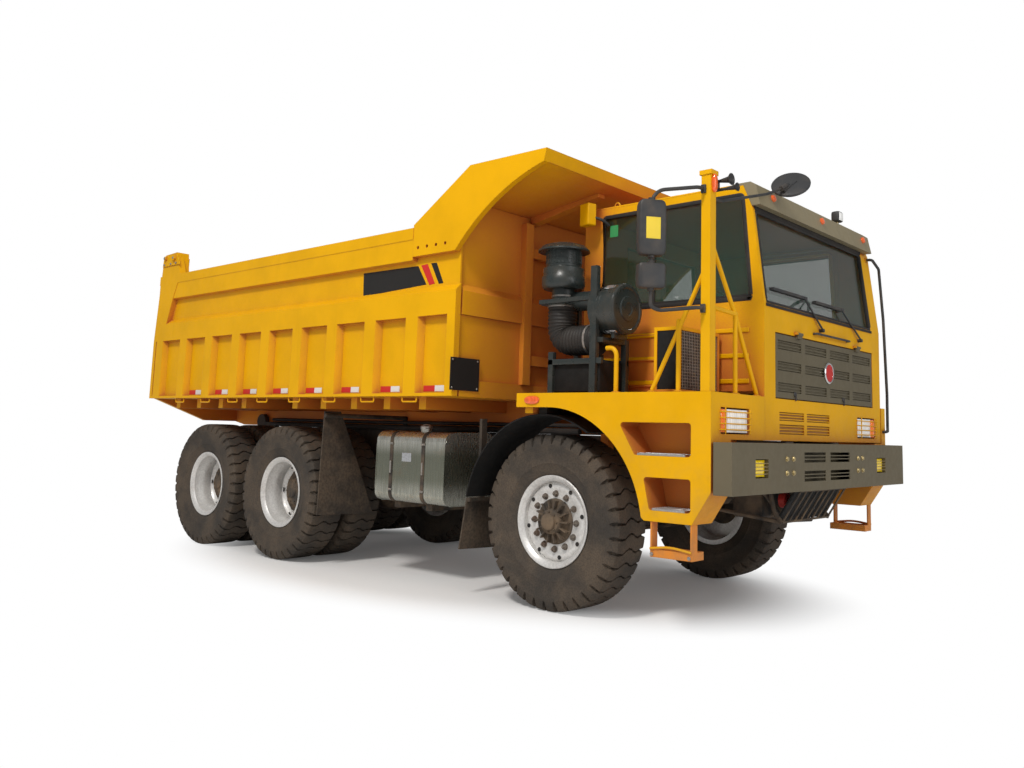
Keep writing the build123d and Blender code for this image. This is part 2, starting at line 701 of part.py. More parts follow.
def frame_rails():
    """Two rails with crossmembers, the pivot and bogie tubes and the hoist's ears."""
    rail = left_rail()
    rails = rail + mirrored(rail)
    for x, low, high in CROSSMEMBERS:
        rails += block(x - CROSSMEMBER_HALF, x + CROSSMEMBER_HALF, -RAIL_OUT + 5, RAIL_OUT - 5, low, high)
    pin_end = SILL_HALF_OUT + EAR_GAP + EAR_T
    rails += rod_y(PIVOT_X, -pin_end, pin_end, PIVOT_Z, PIVOT_R)
    rails += rod_y(BOGIE_X, -RAIL_OUT, RAIL_OUT, BOGIE_TUBE_Z, 50)
    for side in (-1, 1):
        y = side * HOIST_Y
        for off in (-HOIST_EAR_OFF, HOIST_EAR_OFF - HOIST_EAR_T):
            rails += block(HOIST_BASE_X - 40, HOIST_EAR_REAR_X, y + off, y + off + HOIST_EAR_T,
                           HOIST_BASE_Z - HOIST_EAR_HALF, HOIST_BASE_Z + HOIST_EAR_HALF)
        rails += rod_y(HOIST_BASE_X, y - HOIST_EAR_OFF, y + HOIST_EAR_OFF, HOIST_BASE_Z, HOIST_PIN_R)
    return rails


# Hoist

def hoist_line(side):
    """Base pin's centre, unit vector to the rod's eye and the eye's centre."""
    base = Vector(HOIST_BASE_X, side * HOIST_Y, HOIST_BASE_Z)
    tip = Vector(HOIST_EYE_X, side * HOIST_Y, HOIST_EYE_Z)
    return base, (tip - base).normalized(), tip


def hoist_barrel(side):
    """Cylinder barrel with its gland and base eye."""
    base, axis, _ = hoist_line(side)
    across = Vector(0, HOIST_EAR_OFF - HOIST_EAR_T - 3, 0)
    start, mouth = base + axis * 75, base + axis * HOIST_BARREL
    barrel = rod(start, mouth, HOIST_BORE_R) + rod(base - across, base + across, 62)
    barrel += rod(base + axis * 30, start + axis, 55)
    barrel -= rod(start + axis * 25, mouth - axis * HOIST_GLAND, HOIST_BORE_R - HOIST_WALL)
    barrel -= rod(mouth - axis * (HOIST_GLAND + 1), mouth + axis, HOIST_ROD_R + BEARING_GAP)
    return barrel - rod(base - across * 1.1, base + across * 1.1, HOIST_PIN_R + BEARING_GAP)


def hoist_rod(side):
    """Piston and rod, ending in an eye below the dump body."""
    base, axis, tip = hoist_line(side)
    across = Vector(0, HOIST_EYE_W / 2, 0)
    piece = rod(base + axis * 130, tip - axis * 30, HOIST_ROD_R)
    piece += rod(base + axis * 130, base + axis * 190, HOIST_BORE_R - HOIST_WALL - BEARING_GAP)
    piece += rod(tip - across, tip + across, HOIST_EYE_R)
    return piece - rod(tip - across * 1.1, tip + across * 1.1, HOIST_PIN_R)


# Dump body

def body_floor():
    """Floor with its edge plate, crossbeams, two sills, tail beam and hoist ears."""
    floor = block(TAIL_X, BODY_FRONT_X, -BODY_HALF + BODY_WALL, BODY_HALF - BODY_WALL, BODY_BOTTOM, FLOOR_TOP)
    floor += block(TAIL_X, BODY_FRONT_X, -BODY_HALF, BODY_HALF, BODY_BOTTOM - 1, BODY_BOTTOM)
    beams = math.ceil((BODY_FRONT_X - TAIL_X - 700) / CROSSBEAM_PITCH)
    for x in (TAIL_X + 500 + k * CROSSBEAM_PITCH for k in range(beams)):
        if abs(x - HOIST_EYE_X) > 260:
            floor += block(x - CROSSBEAM_HALF, x + CROSSBEAM_HALF, -BODY_HALF + 70, BODY_HALF - 70,
                           BODY_BOTTOM - CROSSBEAM_H, BODY_BOTTOM)
    sill = side_plate([(TAIL_X + 30, BODY_BOTTOM), (TAIL_X + 30, SILL_BOTTOM + 40),
                       (TAIL_X + 260, SILL_BOTTOM), (BODY_FRONT_X - 60, SILL_BOTTOM),
                       (BODY_FRONT_X - 60, BODY_BOTTOM)], SILL_HALF_IN, SILL_HALF_OUT)
    sill -= rod_y(PIVOT_X, SILL_HALF_IN - 1, SILL_HALF_OUT + 1, PIVOT_Z, PIVOT_R + BEARING_GAP)
    floor += sill + mirrored(sill)
    beam = [(-BODY_HALF, BODY_BOTTOM), (-TAIL_BEAM_HALF, TAIL_BEAM_Z), (TAIL_BEAM_HALF, TAIL_BEAM_Z),
            (BODY_HALF, BODY_BOTTOM)]
    floor += front_plate(beam, TAIL_X, TAIL_X + TAIL_BEAM_T)
    ear = [(HOIST_EYE_X - 170, BODY_BOTTOM), (HOIST_EYE_X - 70, HOIST_EYE_Z - 70),
           (HOIST_EYE_X + 70, HOIST_EYE_Z - 70), (HOIST_EYE_X + 170, BODY_BOTTOM)]
    for side in (-1, 1):
        for off in (-HOIST_EYE_W / 2 - 30, HOIST_EYE_W / 2 + 10):
            y = side * HOIST_Y + off
            floor += side_plate(ear, y, y + HOIST_EAR_T)
    return floor


def rib_start(k):
    """Rear edge of a side rib's outer face."""
    return RIB_FIRST_X - k * RIB_PITCH


def body_side():
    """Left side wall with top band, belt, ribs, bottom flange, rope hooks and tail post."""
    rear = TAIL_X + 40
    root = BODY_HALF - 1
    wall = block(rear, BODY_FRONT_X - BODY_WALL, BODY_HALF - BODY_WALL, BODY_HALF, BODY_BOTTOM, BODY_TOP - 5)
    wall += block(rear, BODY_FRONT_X, root, BODY_OUT, BODY_BOTTOM, BODY_BOTTOM + FLANGE_T)
    band = [(root, BODY_TOP), (BODY_OUT, BODY_TOP), (BODY_OUT, BAND_GROOVE + 6), (BODY_OUT - 6, BAND_GROOVE),
            (BODY_OUT - 6, BAND_BOTTOM), (root, BAND_BOTTOM - 8)]
    wall += front_plate(band, rear, CANOPY_BACK_X)
    lip = [(BODY_HALF - 60, BODY_TOP), (BODY_HALF, BODY_TOP), (BODY_HALF, BAND_BOTTOM + 140),
           (BODY_HALF - 60, BAND_BOTTOM + 200)]
    wall += front_plate(lip, TAIL_X + 100, CANOPY_BACK_X)
    belt = [(root, BELT_TOP + BELT_SLOPE), (BODY_OUT, BELT_TOP), (BODY_OUT, BELT_BOTTOM), (root, BELT_BOTTOM)]
    wall += front_plate(belt, rear, BODY_FRONT_X)
    for k in range(RIB_COUNT):
        x = rib_start(k)
        rib = [(max(x - RIB_FLANK, rear), root), (x, BODY_OUT), (x + RIB_TOP_W, BODY_OUT),
               (x + RIB_TOP_W + RIB_FLANK, root)]
        wall += plan_plate(rib, BODY_BOTTOM, BELT_BOTTOM + 5)
    for k in range(RIB_COUNT - 1):
        x0, y, low = rib_start(k) - 20, ROPE_HOOK["y"], BODY_BOTTOM - ROPE_HOOK["drop"]
        x1 = x0 + ROPE_HOOK["wide"]
        wall += bent_bar([(x0, y, BODY_BOTTOM + 4), (x0, y, low), (x1, y, low), (x1, y, BODY_BOTTOM + 4)],
                         ROPE_HOOK["radius"], 14)
    corner = [(BODY_FRONT_X - 130, root), (BODY_FRONT_X - 100, BODY_OUT), (BODY_FRONT_X, BODY_OUT),
              (BODY_FRONT_X, root)]
    wall += plan_plate(corner, BODY_BOTTOM, BELT_BOTTOM + 5)
    return wall + tail_post()


def tail_post():
    """Left rear post with its lug plate, two bosses and the gate's hinge pin."""
    outline = [(TAIL_X, BELT_BOTTOM), (TAIL_X + 95, POST_TOP - 60), (TAIL_X + 150, POST_TOP - 10),
               (TAIL_X + 420, POST_TOP), (TAIL_X + 430, POST_TOP - 60), (TAIL_X + 540, BODY_TOP - 10),
               (TAIL_X + 400, BAND_BOTTOM), (TAIL_X + 240, 2420), (TAIL_X + 200, BELT_BOTTOM)]
    post = side_plate(outline, BODY_HALF - BODY_WALL, BODY_OUT)
    post += block(TAIL_X, TAIL_X + TAIL_BEAM_T, BODY_HALF - BODY_WALL, BODY_OUT, BODY_BOTTOM, BELT_BOTTOM + 1)
    cheek = [(TAIL_X + 180, POST_TOP - 10), (TAIL_X + 420, POST_TOP), (TAIL_X + 470, BODY_TOP - 40),
             (TAIL_X + 180, BODY_TOP - 40)]
    post += side_plate(cheek, POST_IN, BODY_HALF)
    (x0, x1), (z0, z1) = LUG_PLATE["x"], LUG_PLATE["z"]
    proud = BODY_OUT + LUG_PLATE["thick"]
    lug = [(x0, z0), (x1 + 40, z0), (x1, z1 - 60), (x1 - 60, z1), (x0 + 60, z1), (x0 + 15, z1 - 50)]
    post += side_plate(lug, BODY_OUT - 1, proud)
    for x, z, radius in POST_BOSSES:
        post += rod_y(x, proud - 1, proud + 24, z, radius)
    return post + rod_y(TAIL_X + GATE_HINGE_IN, POST_PIN_IN, POST_IN + 1, GATE_HINGE_Z, GATE_PIN_R)


def body_front_wall():
    """Front wall with belt, lower panel, two upright channels and cross channels."""
    face_x = BODY_FRONT_X - WALL_SET_BACK
    root = face_x - 1
    side = BODY_HALF - BODY_WALL
    wall = block(face_x - BODY_WALL, face_x, -side, side, FLOOR_TOP, CANOPY_ROOT_Z)
    wall += block(root, BODY_FRONT_X - PANEL_SET_BACK, -side, side, FLOOR_TOP, BELT_BOTTOM)
    belt = [(root, BELT_BOTTOM), (BODY_FRONT_X, BELT_BOTTOM), (BODY_FRONT_X, BELT_TOP),
            (root, BELT_TOP + BELT_SLOPE)]
    wall += side_plate(belt, -side, side)
    for low, high in (STIFFENER_Y, (-STIFFENER_Y[1], -STIFFENER_Y[0])):
        wall += block(root, BODY_FRONT_X + STIFFENER_OUT, low, high, FLOOR_TOP, CANOPY_ROOT_Z - 70)
    for z in CROSS_CHANNELS["z"]:
        wall += block(root, BODY_FRONT_X + CROSS_CHANNELS["out"], -STIFFENER_Y[0], STIFFENER_Y[0],
                      z, z + CROSS_CHANNELS["high"])
    return wall


def tailgate():
    """Top-hung gate: skin and frame ribs, and two bolted arms to the post pins."""
    hinge_x = TAIL_X + GATE_HINGE_IN
    width = BODY_HALF - BODY_WALL - GATE_GAP
    back, skin, front = TAIL_X + 2, TAIL_X + GATE_SKIN[0], TAIL_X + GATE_SKIN[1]
    gate = block(skin, front, -width, width, FLOOR_TOP + GATE_GAP, BODY_TOP - 40)
    for z in GATE_RIBS["z"]:
        gate += block(back, skin + 1, -width, width, z, z + 110)
    for k in range(GATE_RIBS["count"]):
        y = (k - (GATE_RIBS["count"] - 1) / 2) * GATE_RIBS["pitch"]
        half = GATE_RIBS["wide"] / 2
        gate += block(back, skin + 1, y - half, y + half, FLOOR_TOP + GATE_GAP, BODY_TOP - 50)
    seat_x = front + SEAT_GAP
    y0 = POST_PIN_IN + 4
    y1 = y0 + GATE_ARM_T
    arm = side_plate([(seat_x, 2700), (hinge_x + 55, GATE_HINGE_Z - 30), (hinge_x + 55, GATE_HINGE_Z + 60),
                      (hinge_x - 50, GATE_HINGE_Z + 60), (seat_x, BODY_TOP - 50)], y0, y1)
    arm -= rod_y(hinge_x, y0 - 1, y1 + 1, GATE_HINGE_Z, GATE_PIN_R + BEARING_GAP)
    return [gate] + both_sides(arm)


def body_canopy():
    """Canopy sheet over the cab, its lip and beams, and the two side gussets."""
    side_in, side_out = BODY_HALF, BODY_OUT - 4
    lip_x, top = CANOPY_FRONT_X, CANOPY_TOP - 10
    low_x, low_z = lip_x - 25, top - CANOPY_LIP
    foot_x = BODY_FRONT_X - WALL_SET_BACK
    outline = Polyline([(foot_x, side_in, CANOPY_FOOT_Z), (CANOPY_BACK_X, side_in, CANOPY_FOOT_Z),
                        (CANOPY_BACK_X, side_in, BODY_TOP + 25), (CANOPY_KNEE_X, side_in, CANOPY_TOP),
                        (lip_x, side_in, top), (low_x, side_in, low_z)])
    belly = ThreePointArc((low_x, side_in, low_z), (CANOPY_ARC_MID[0], side_in, CANOPY_ARC_MID[1]),
                          (foot_x, side_in, CANOPY_FOOT_Z))
    gusset = extrude(make_face([outline, belly]), amount=side_out - side_in, dir=(0, 1, 0))
    for k in range(CANOPY_HOLES["count"]):
        x = CANOPY_HOLES["first"] + k * CANOPY_HOLES["pitch"]
        gusset -= rod_y(x, side_in - 1, side_out + 1, CANOPY_HOLES["z"], CANOPY_HOLES["radius"])
    root_x = foot_x - BODY_WALL
    edge_x = lip_x - CANOPY_PLATE
    sheet = [(root_x, CANOPY_ROOT_Z), (edge_x, low_z), (low_x, low_z), (lip_x, top), (edge_x, top),
             (edge_x - 22, low_z + CANOPY_PLATE + 6), (root_x, CANOPY_ROOT_Z + CANOPY_PLATE)]
    canopy = side_plate(sheet, -side_in, side_in) + gusset + mirrored(gusset)
    slope = (low_z - CANOPY_ROOT_Z) / (edge_x - root_x)
    x0, x1 = root_x + BODY_WALL + 21, lip_x - 200
    z0, z1 = (CANOPY_ROOT_Z + (x - root_x) * slope + 2 for x in (x0, x1))
    for y in (-CANOPY_BEAM_Y, CANOPY_BEAM_Y):
        canopy += side_plate([(x0, z0), (x1, z1), (x1, z1 - 35), (x0, z0 - 70)], y - 45, y + 45)
    return canopy


# Cab

def cab_profile(inset):
    """Side outline of the cab, drawn in by a wall thickness."""
    rear, front = CAB_REAR_X + inset, CAB_FRONT_X - inset
    return [(rear, CAB_FLOOR + inset), (front, CAB_FLOOR + inset), (front, SCREEN_SILL),
            (front - CAB_LEAN, SCREEN_HEAD), (front - CAB_BROW, CAB_ROOF - inset), (rear, CAB_ROOF - inset)]


def side_window(grow):
    """Outline of the fixed right side window, grown or drawn in."""
    rear, front = AXLE1_X + SIDE_WINDOW["rear"] - grow, AXLE1_X + SIDE_WINDOW["front"] + grow
    sill, head = SIDE_WINDOW["sill"] - grow, SIDE_WINDOW["head"] + grow
    return [(rear, sill), (front, sill), (front - SIDE_WINDOW["lean"], head), (rear, head)]


def screen_x(z):
    """X of the cab's front face at a height on the windscreen."""
    return CAB_FRONT_X - (z - SCREEN_SILL) * CAB_LEAN / (SCREEN_HEAD - SCREEN_SILL)


def vent_grilles():
    """The four recesses in the cab's front apron, less their slats."""
    back = CAB_FRONT_X - VENTS["deep"]
    cuts = []
    for y0, y1 in VENTS["y"]:
        for z0, z1 in VENTS["z"]:
            recess = block(back, CAB_FRONT_X + 1, y0, y1, z0, z1)
            for k in range(VENTS["slats"]):
                z = z0 + (z1 - z0) * (k + 0.5) / VENTS["slats"]
                recess -= block(back - 1, CAB_FRONT_X - 2, y0 - 1, y1 + 1, z - 4, z + 4)
            cuts.append(recess)
    return cuts


def cab_shell():
    """Hollow cab: floor, walls, pillars, roof and the front apron, with openings cut."""
    shell = side_plate(cab_profile(0), CAB_RIGHT_Y, CAB_LEFT_Y)
    shell -= side_plate(cab_profile(CAB_WALL), CAB_RIGHT_Y + CAB_WALL, CAB_LEFT_Y - CAB_WALL)
    shell += block(CAB_FRONT_X - CAB_APRON_T, CAB_FRONT_X, CAB_RIGHT_Y, CAB_LEFT_Y, CAB_SKIRT, CAB_FLOOR + 5)
    y0, y1 = HEADLAMP["left"]
    z0, z1 = HEADLAMP["z"]
    shell -= block(DECK_FRONT_X - LAMP_POCKET, CAB_FRONT_X + 1, y0 - LAMP_GAP, y1 + LAMP_GAP,
                   z0 - LAMP_GAP, z1 + LAMP_GAP)
    top_x, top_y, top_z = HANDRAIL_TOP
    shell += block(CAB_FRONT_X - 140, top_x - SEAT_GAP, top_y - 20, top_y + 20, top_z - 20, top_z + 20)
    shell -= block(CAB_FRONT_X - 250, CAB_FRONT_X + 1, *SCREEN_Y, SCREEN_SILL + SCREEN_EDGE,
                   SCREEN_HEAD - SCREEN_EDGE)
    shell -= side_plate(side_window(0), CAB_RIGHT_Y - 1, CAB_RIGHT_Y + CAB_WALL + 1)
    shell -= block(CAB_REAR_X - 1, CAB_REAR_X + CAB_WALL + 1, *REAR_WINDOW["y"], *REAR_WINDOW["z"])
    shell -= block(DOOR_REAR_X, DOOR_FRONT_X, CAB_LEFT_Y - CAB_WALL - 1, CAB_LEFT_Y + 1, DOOR_BOTTOM, DOOR_TOP)
    shell -= block(CAB_FRONT_X - GRILLE_DEPTH, CAB_FRONT_X + 1, GRILLE_Y[0] - GRILLE_GAP,
                   GRILLE_Y[1] + GRILLE_GAP, GRILLE_Z[0] - GRILLE_GAP, GRILLE_Z[1] + GRILLE_GAP)
    for cut in vent_grilles():
        shell -= cut
    for z in CAB_BEADS["z"]:
        shell += rod((CAB_REAR_X + 30, CAB_RIGHT_Y, z), (CAB_BEADS["front"], CAB_RIGHT_Y, z), CAB_BEADS["radius"])
    eye_z = CAB_ROOF + EYE_BOLT["ring"] + EYE_BOLT["wire"] - 4
    eye_y = CAB_RIGHT_Y + EYE_BOLT["in"]
    shell += Pos(EYE_BOLT["x"], eye_y, eye_z) * Rot(90, 0, 0) * Torus(EYE_BOLT["ring"], EYE_BOLT["wire"])
    for z in DOOR_HINGE_Z:
        shell += door_hinge_pin(z)
    for y in GRILLE_HINGE_Y:
        shell += rod_y(GRILLE_PIN_X, y - 60, y + 60, GRILLE_PIN_Z, GRILLE_PIN_R)
        for end in (y - 60, y + 44):
            shell += block(CAB_FRONT_X - 1, GRILLE_PIN_X + 10, end, end + 16, GRILLE_PIN_Z - 6, GRILLE_PIN_Z + 12)
    return shell


def door_hinge_pin(z):
    """Pin and lower leaf of one door hinge, on the cab."""
    x, y = DOOR_FRONT_X + 6, CAB_LEFT_Y + HINGE_OFFSET
    leaf = block(x - 8, x + 70, CAB_LEFT_Y - 1, y + 14, z, z + 38)
    return leaf + rod((x, y, z), (x, y, z + HINGE_PIN_H), HINGE_PIN_R)


def door_panel():
    """Left door with its window cut, two hinge eyes and a pull handle."""
    x0, x1 = DOOR_REAR_X + DOOR_GAP, DOOR_FRONT_X - DOOR_GAP
    y0, y1 = CAB_LEFT_Y - CAB_WALL + 10, CAB_LEFT_Y
    panel = block(x0, x1, y0, y1, DOOR_BOTTOM + DOOR_GAP, DOOR_TOP - DOOR_GAP)
    panel -= block(x0 + DOOR_FRAME, x1 - DOOR_FRAME, y0 - 1, y1 + 1, DOOR_SILL, DOOR_HEAD)
    hx, hy = DOOR_FRONT_X + 6, CAB_LEFT_Y + HINGE_OFFSET
    for z in DOOR_HINGE_Z:
        low, high = z + HINGE_EYE[0], z + HINGE_EYE[1]
        eye = rod((hx, hy, low), (hx, hy, high), HINGE_PIN_R + 8)
        eye += block(x1 - 90, x1, y1 - 1, hy + 6, low, high)
        eye += block(x1 - 1, hx, y1 + 7, hy + 6, low, high)
        panel += eye - rod((hx, hy, low - 1), (hx, hy, high + 1), HINGE_PIN_R + BEARING_GAP)
    return panel + block(x0 + 60, x0 + 180, y1 - 1, y1 + 22, 2290, 2320)


def door_glass():
    """Pane in the door's window opening."""
    x0 = DOOR_REAR_X + DOOR_GAP + DOOR_FRAME + SEAT_GAP
    x1 = DOOR_FRONT_X - DOOR_GAP - DOOR_FRAME - SEAT_GAP
    y = CAB_LEFT_Y - CAB_WALL / 2
    return block(x0, x1, y, y + GLASS_T, DOOR_SILL + SEAT_GAP, DOOR_HEAD - SEAT_GAP)


def cab_glass():
    """Windscreen, right side window and rear window."""
    low, high = SCREEN_SILL + SCREEN_EDGE + SEAT_GAP, SCREEN_HEAD - SCREEN_EDGE - SEAT_GAP
    x_low, x_high = (screen_x(z) - SCREEN_IN for z in (low, high))
    screen = side_plate([(x_low - GLASS_T, low), (x_low, low), (x_high, high), (x_high - GLASS_T, high)],
                        SCREEN_Y[0] + SEAT_GAP, SCREEN_Y[1] - SEAT_GAP)
    pane_y = CAB_RIGHT_Y + SIDE_PANE_IN
    side = side_plate(side_window(-SEAT_GAP), pane_y, pane_y + GLASS_T)
    pane_x = CAB_REAR_X + REAR_PANE_IN
    (y0, y1), (z0, z1) = REAR_WINDOW["y"], REAR_WINDOW["z"]
    rear = block(pane_x, pane_x + GLASS_T, y0 + SEAT_GAP, y1 - SEAT_GAP, z0 + SEAT_GAP, z1 - SEAT_GAP)
    return [screen, side, rear]


def wipers():
    """Two wipers parked low on the windscreen."""
    pieces = []
    foot_x = CAB_FRONT_X + SEAT_GAP
    for pivot_y, pivot_z, elbow_y, elbow_z, end_y in WIPERS:
        top_x = screen_x(elbow_z) + 12
        glass_x = screen_x(elbow_z - 16) - SCREEN_IN + SEAT_GAP
        wiper = rod((foot_x, pivot_y, pivot_z), (foot_x + WIPER_REACH, pivot_y, pivot_z), 15)
        wiper += rod((foot_x + WIPER_REACH - 8, pivot_y, pivot_z), (top_x, elbow_y, elbow_z), 8)
        wiper += block(glass_x, top_x + 4, end_y, elbow_y + 60, elbow_z - 16, elbow_z + 6)
        pieces.append(wiper)
    return pieces


def visor():
    """Band across the front of the roof."""
    f = CAB_FRONT_X
    outline = [*VISOR_FACE, (f - 110, VISOR_TOP), (f - 260, VISOR_TOP), (f - 260, CAB_ROOF + SEAT_GAP),
               (f - CAB_BROW + 0.5, CAB_ROOF + SEAT_GAP), (f - 99.5, VISOR_FACE[0][1])]
    return side_plate(outline, CAB_RIGHT_Y, CAB_LEFT_Y - 60)


def grille_flap():
    """Hinged front panel with four columns of three slots, each with its bars."""
    x0 = CAB_FRONT_X - GRILLE_DEPTH + 4
    x1 = x0 + GRILLE_T
    back = x1 - GRILLE_SLOT["deep"]
    panel = block(x0, x1, *GRILLE_Y, *GRILLE_Z)
    columns, rows = GRILLE_GRID
    width = (GRILLE_Y[1] - GRILLE_Y[0]) / columns
    height = (GRILLE_Z[1] - GRILLE_Z[0]) / rows
    slot_w, slot_h = width - 2 * GRILLE_SLOT["side"], height - 2 * GRILLE_SLOT["foot"]
    half = GRILLE_SLOT["bar"] / 2
    for column in range(columns):
        for row in range(rows):
            y = GRILLE_Y[0] + column * width + GRILLE_SLOT["side"]
            z = GRILLE_Z[0] + row * height + GRILLE_SLOT["foot"]
            slot = block(back, x1 + 1, y, y + slot_w, z, z + slot_h)
            for k in range(GRILLE_SLOT["bars"]):
                bar_z = z + slot_h * (k + 0.5) / GRILLE_SLOT["bars"]
                slot -= block(back - 1, x1 - 3, y - 1, y + slot_w + 1, bar_z - half, bar_z + half)
            panel -= slot
    for y in GRILLE_HINGE_Y:
        eye = rod_y(GRILLE_PIN_X, y - 40, y + 40, GRILLE_PIN_Z, GRILLE_PIN_R + 6)
        eye += block(x0 + 12, GRILLE_PIN_X + 4, y - 40, y + 40, GRILLE_Z[1] - 12, GRILLE_Z[1] + 6)
        eye += block(GRILLE_PIN_X - 9, GRILLE_PIN_X + 4, y - 40, y + 40, GRILLE_Z[1], GRILLE_PIN_Z)
        panel += eye - rod_y(GRILLE_PIN_X, y - 41, y + 41, GRILLE_PIN_Z, GRILLE_PIN_R + BEARING_GAP)
    return panel


def driver_seat():
    """Seat with its pedestal, cushion and back."""
    x, y = AXLE1_X + 480, 850
    floor = CAB_FLOOR + CAB_WALL + BEARING_GAP
    seat = block(x - 150, x + 150, y - 150, y + 150, floor, floor + 260)
    seat += block(x - 250, x + 250, y - 260, y + 260, floor + 255, floor + 390)
    return seat + side_plate([(x - 250, floor + 300), (x - 150, floor + 300), (x - 270, floor + 1050),
                              (x - 350, floor + 1050)], y - 240, y + 240)


def dashboard():
    """Instrument shelf with the steering column and wheel."""
    x = AXLE1_X + 1200
    inside = CAB_FRONT_X - CAB_WALL - BEARING_GAP
    shelf = side_plate([(inside, 1800), (inside, 2330), (x + 30, 2330), (x - 40, 2200), (x + 60, 1800)],
                       CAB_RIGHT_Y + CAB_WALL + 4, CAB_LEFT_Y - CAB_WALL - 4)
    hub_x, hub_z, y = AXLE1_X + 960, 2440, 850
    column = rod((x + 20, y, 2230), (hub_x, y, hub_z), 32)
    tilt = math.degrees(math.atan2(x + 20 - hub_x, hub_z - 2230))
    facing = Pos(hub_x, y, hub_z) * Rot(0, -tilt, 0)
    wheel = facing * Torus(215, 15)
    for angle in (90, 210, 330):
        wheel += facing * Rot(0, 0, angle) * Pos(108, 0, 0) * Box(216, 26, 14)
    return shelf + column + wheel


def cab_handrail():
    """Tube outboard of the cab's left front corner, and the bar below the windscreen."""
    foot_x, foot_y, foot_z = DECK_FRONT_X + SEAT_GAP, 1500, 1446
    x, y, z = HANDRAIL_TOP
    rail = bent_bar([(x, y, z), (x + 50, y, z), (AXLE1_X + 1490, 1600, 2980),
                     (AXLE1_X + 1500, 1665, 2500), (AXLE1_X + 1500, 1725, 1800), (AXLE1_X + 1515, 1680, 1500),
                     (foot_x + 45, foot_y, foot_z), (foot_x, foot_y, foot_z)], HANDRAIL_R, 25)
    (y0, y1), bar_z = SCREEN_BAR["y"], SCREEN_BAR["z"]
    near, out = CAB_FRONT_X + SEAT_GAP, CAB_FRONT_X + SCREEN_BAR["out"]
    bar = bent_bar([(near, y0, bar_z), (out, y0, bar_z), (out, y1, bar_z), (near, y1, bar_z)],
                   SCREEN_BAR["radius"], 12)
    return [rail, bar]


# Walkway, steps and skirts

def arch_edge(z):
    """X of the wheel arch's edge at a height."""
    return ARCH_X + math.sqrt(ARCH_R ** 2 - (z - ARCH_Z) ** 2)


def skirt_outline():
    """Side outline of apron and skirt as a face in X and Z at y = 0."""
    foot_z = SKIRT_BOTTOM + 20
    low_x = arch_edge(foot_z)
    angle = math.radians(ARCH_MID_ANGLE)
    mid = (ARCH_X + ARCH_R * math.cos(angle), ARCH_Z + ARCH_R * math.sin(angle))
    top = ARCH_Z + ARCH_R
    arc = ThreePointArc((ARCH_X, 0, top), (mid[0], 0, mid[1]), (low_x, 0, foot_z))
    line = Polyline([(low_x, 0, foot_z), (low_x + 25, 0, SKIRT_BOTTOM), (SKIRT_FRONT_X, 0, SKIRT_BOTTOM),
                     (DECK_FRONT_X, 0, SKIRT_CHAMFER_Z), (DECK_FRONT_X, 0, DECK_TOP), (DECK_REAR_X, 0, DECK_TOP),
                     (DECK_REAR_X, 0, top), (ARCH_X, 0, top)])
    return make_face([arc, line])


def skirt_box():
    """Left-hand skirt with arch edge and two stepped pockets, seen from outside."""
    outer = -DECK_RIGHT_Y
    plate = Pos(0, outer, 0) * extrude(skirt_outline(), amount=-SKIRT_DEPTH, dir=(0, 1, 0))
    plate -= block(DECK_REAR_X - 1, ARCH_X + 520, outer - SKIRT_DEPTH - 1, outer - SKIRT_PLATE,
                   SKIRT_CHAMFER_Z, DECK_TOP - DECK_T)
    for z0, z1, foot, head in POCKETS:
        pocket = side_plate([(arch_edge(z0) + foot, z0), (POCKET_FRONT_X, z0), (POCKET_FRONT_X, z1),
                             (arch_edge(z1) + head, z1)], outer - POCKET_DEPTH, outer + 1)
        plate -= fillet(pocket.edges().filter_by(Axis.Y), POCKET_ROUND)
    return plate


def step_treads():
    """Bright tread plates on the floors of the four step pockets."""
    pieces = []
    outer = -DECK_RIGHT_Y
    for z0, _, foot, _ in POCKETS:
        low = z0 + SEAT_GAP
        plate = block(arch_edge(z0) + foot + POCKET_ROUND, POCKET_FRONT_X - 2 * POCKET_ROUND,
                      outer - POCKET_DEPTH + 4, outer - 2, low, low + TREAD_PLATE_T)
        pieces += both_sides(plate)
    return pieces


def outriggers(reach):
    """Two arms and feet that carry the left skirt from the frame rail."""
    arms = None
    for x in OUTRIGGER_X:
        foot_y = RAIL_OUT + OUTRIGGER_W
        piece = block(x, x + OUTRIGGER_W, RAIL_OUT + SEAT_GAP, foot_y, OUTRIGGER_FOOT_Z, DECK_TOP - DECK_T)
        piece += block(x, x + OUTRIGGER_W, foot_y - 1, reach, OUTRIGGER_ARM_Z, DECK_TOP - DECK_T + 1)
        arms = piece if arms is None else arms + piece
    return arms


def walkway_right():
    """Deck, apron, front face and skirt on the truck's right."""
    y_out, y_in = DECK_RIGHT_Y + 1, CAB_RIGHT_Y - 6
    body = block(DECK_REAR_X, DECK_FRONT_X, y_out, y_in, DECK_TOP - DECK_T, DECK_TOP)
    body += block(DECK_FRONT_X - DECK_FACE_T, DECK_FRONT_X, y_out, y_in, CAB_SKIRT, DECK_TOP)
    body += mirrored(skirt_box())
    y0, y1 = HEADLAMP["right"]
    z0, z1 = HEADLAMP["z"]
    body += block(DECK_FRONT_X - LAMP_POCKET - 30, DECK_FRONT_X - DECK_FACE_T + 1, y0 - 30, y1 + 30,
                  CAB_SKIRT, DECK_TOP - 1)
    body -= block(DECK_FRONT_X - LAMP_POCKET, DECK_FRONT_X + 1, y0 - LAMP_GAP, y1 + LAMP_GAP,
                  z0 - LAMP_GAP, z1 + LAMP_GAP)
    return body + mirrored(outriggers(-DECK_RIGHT_Y - 40))


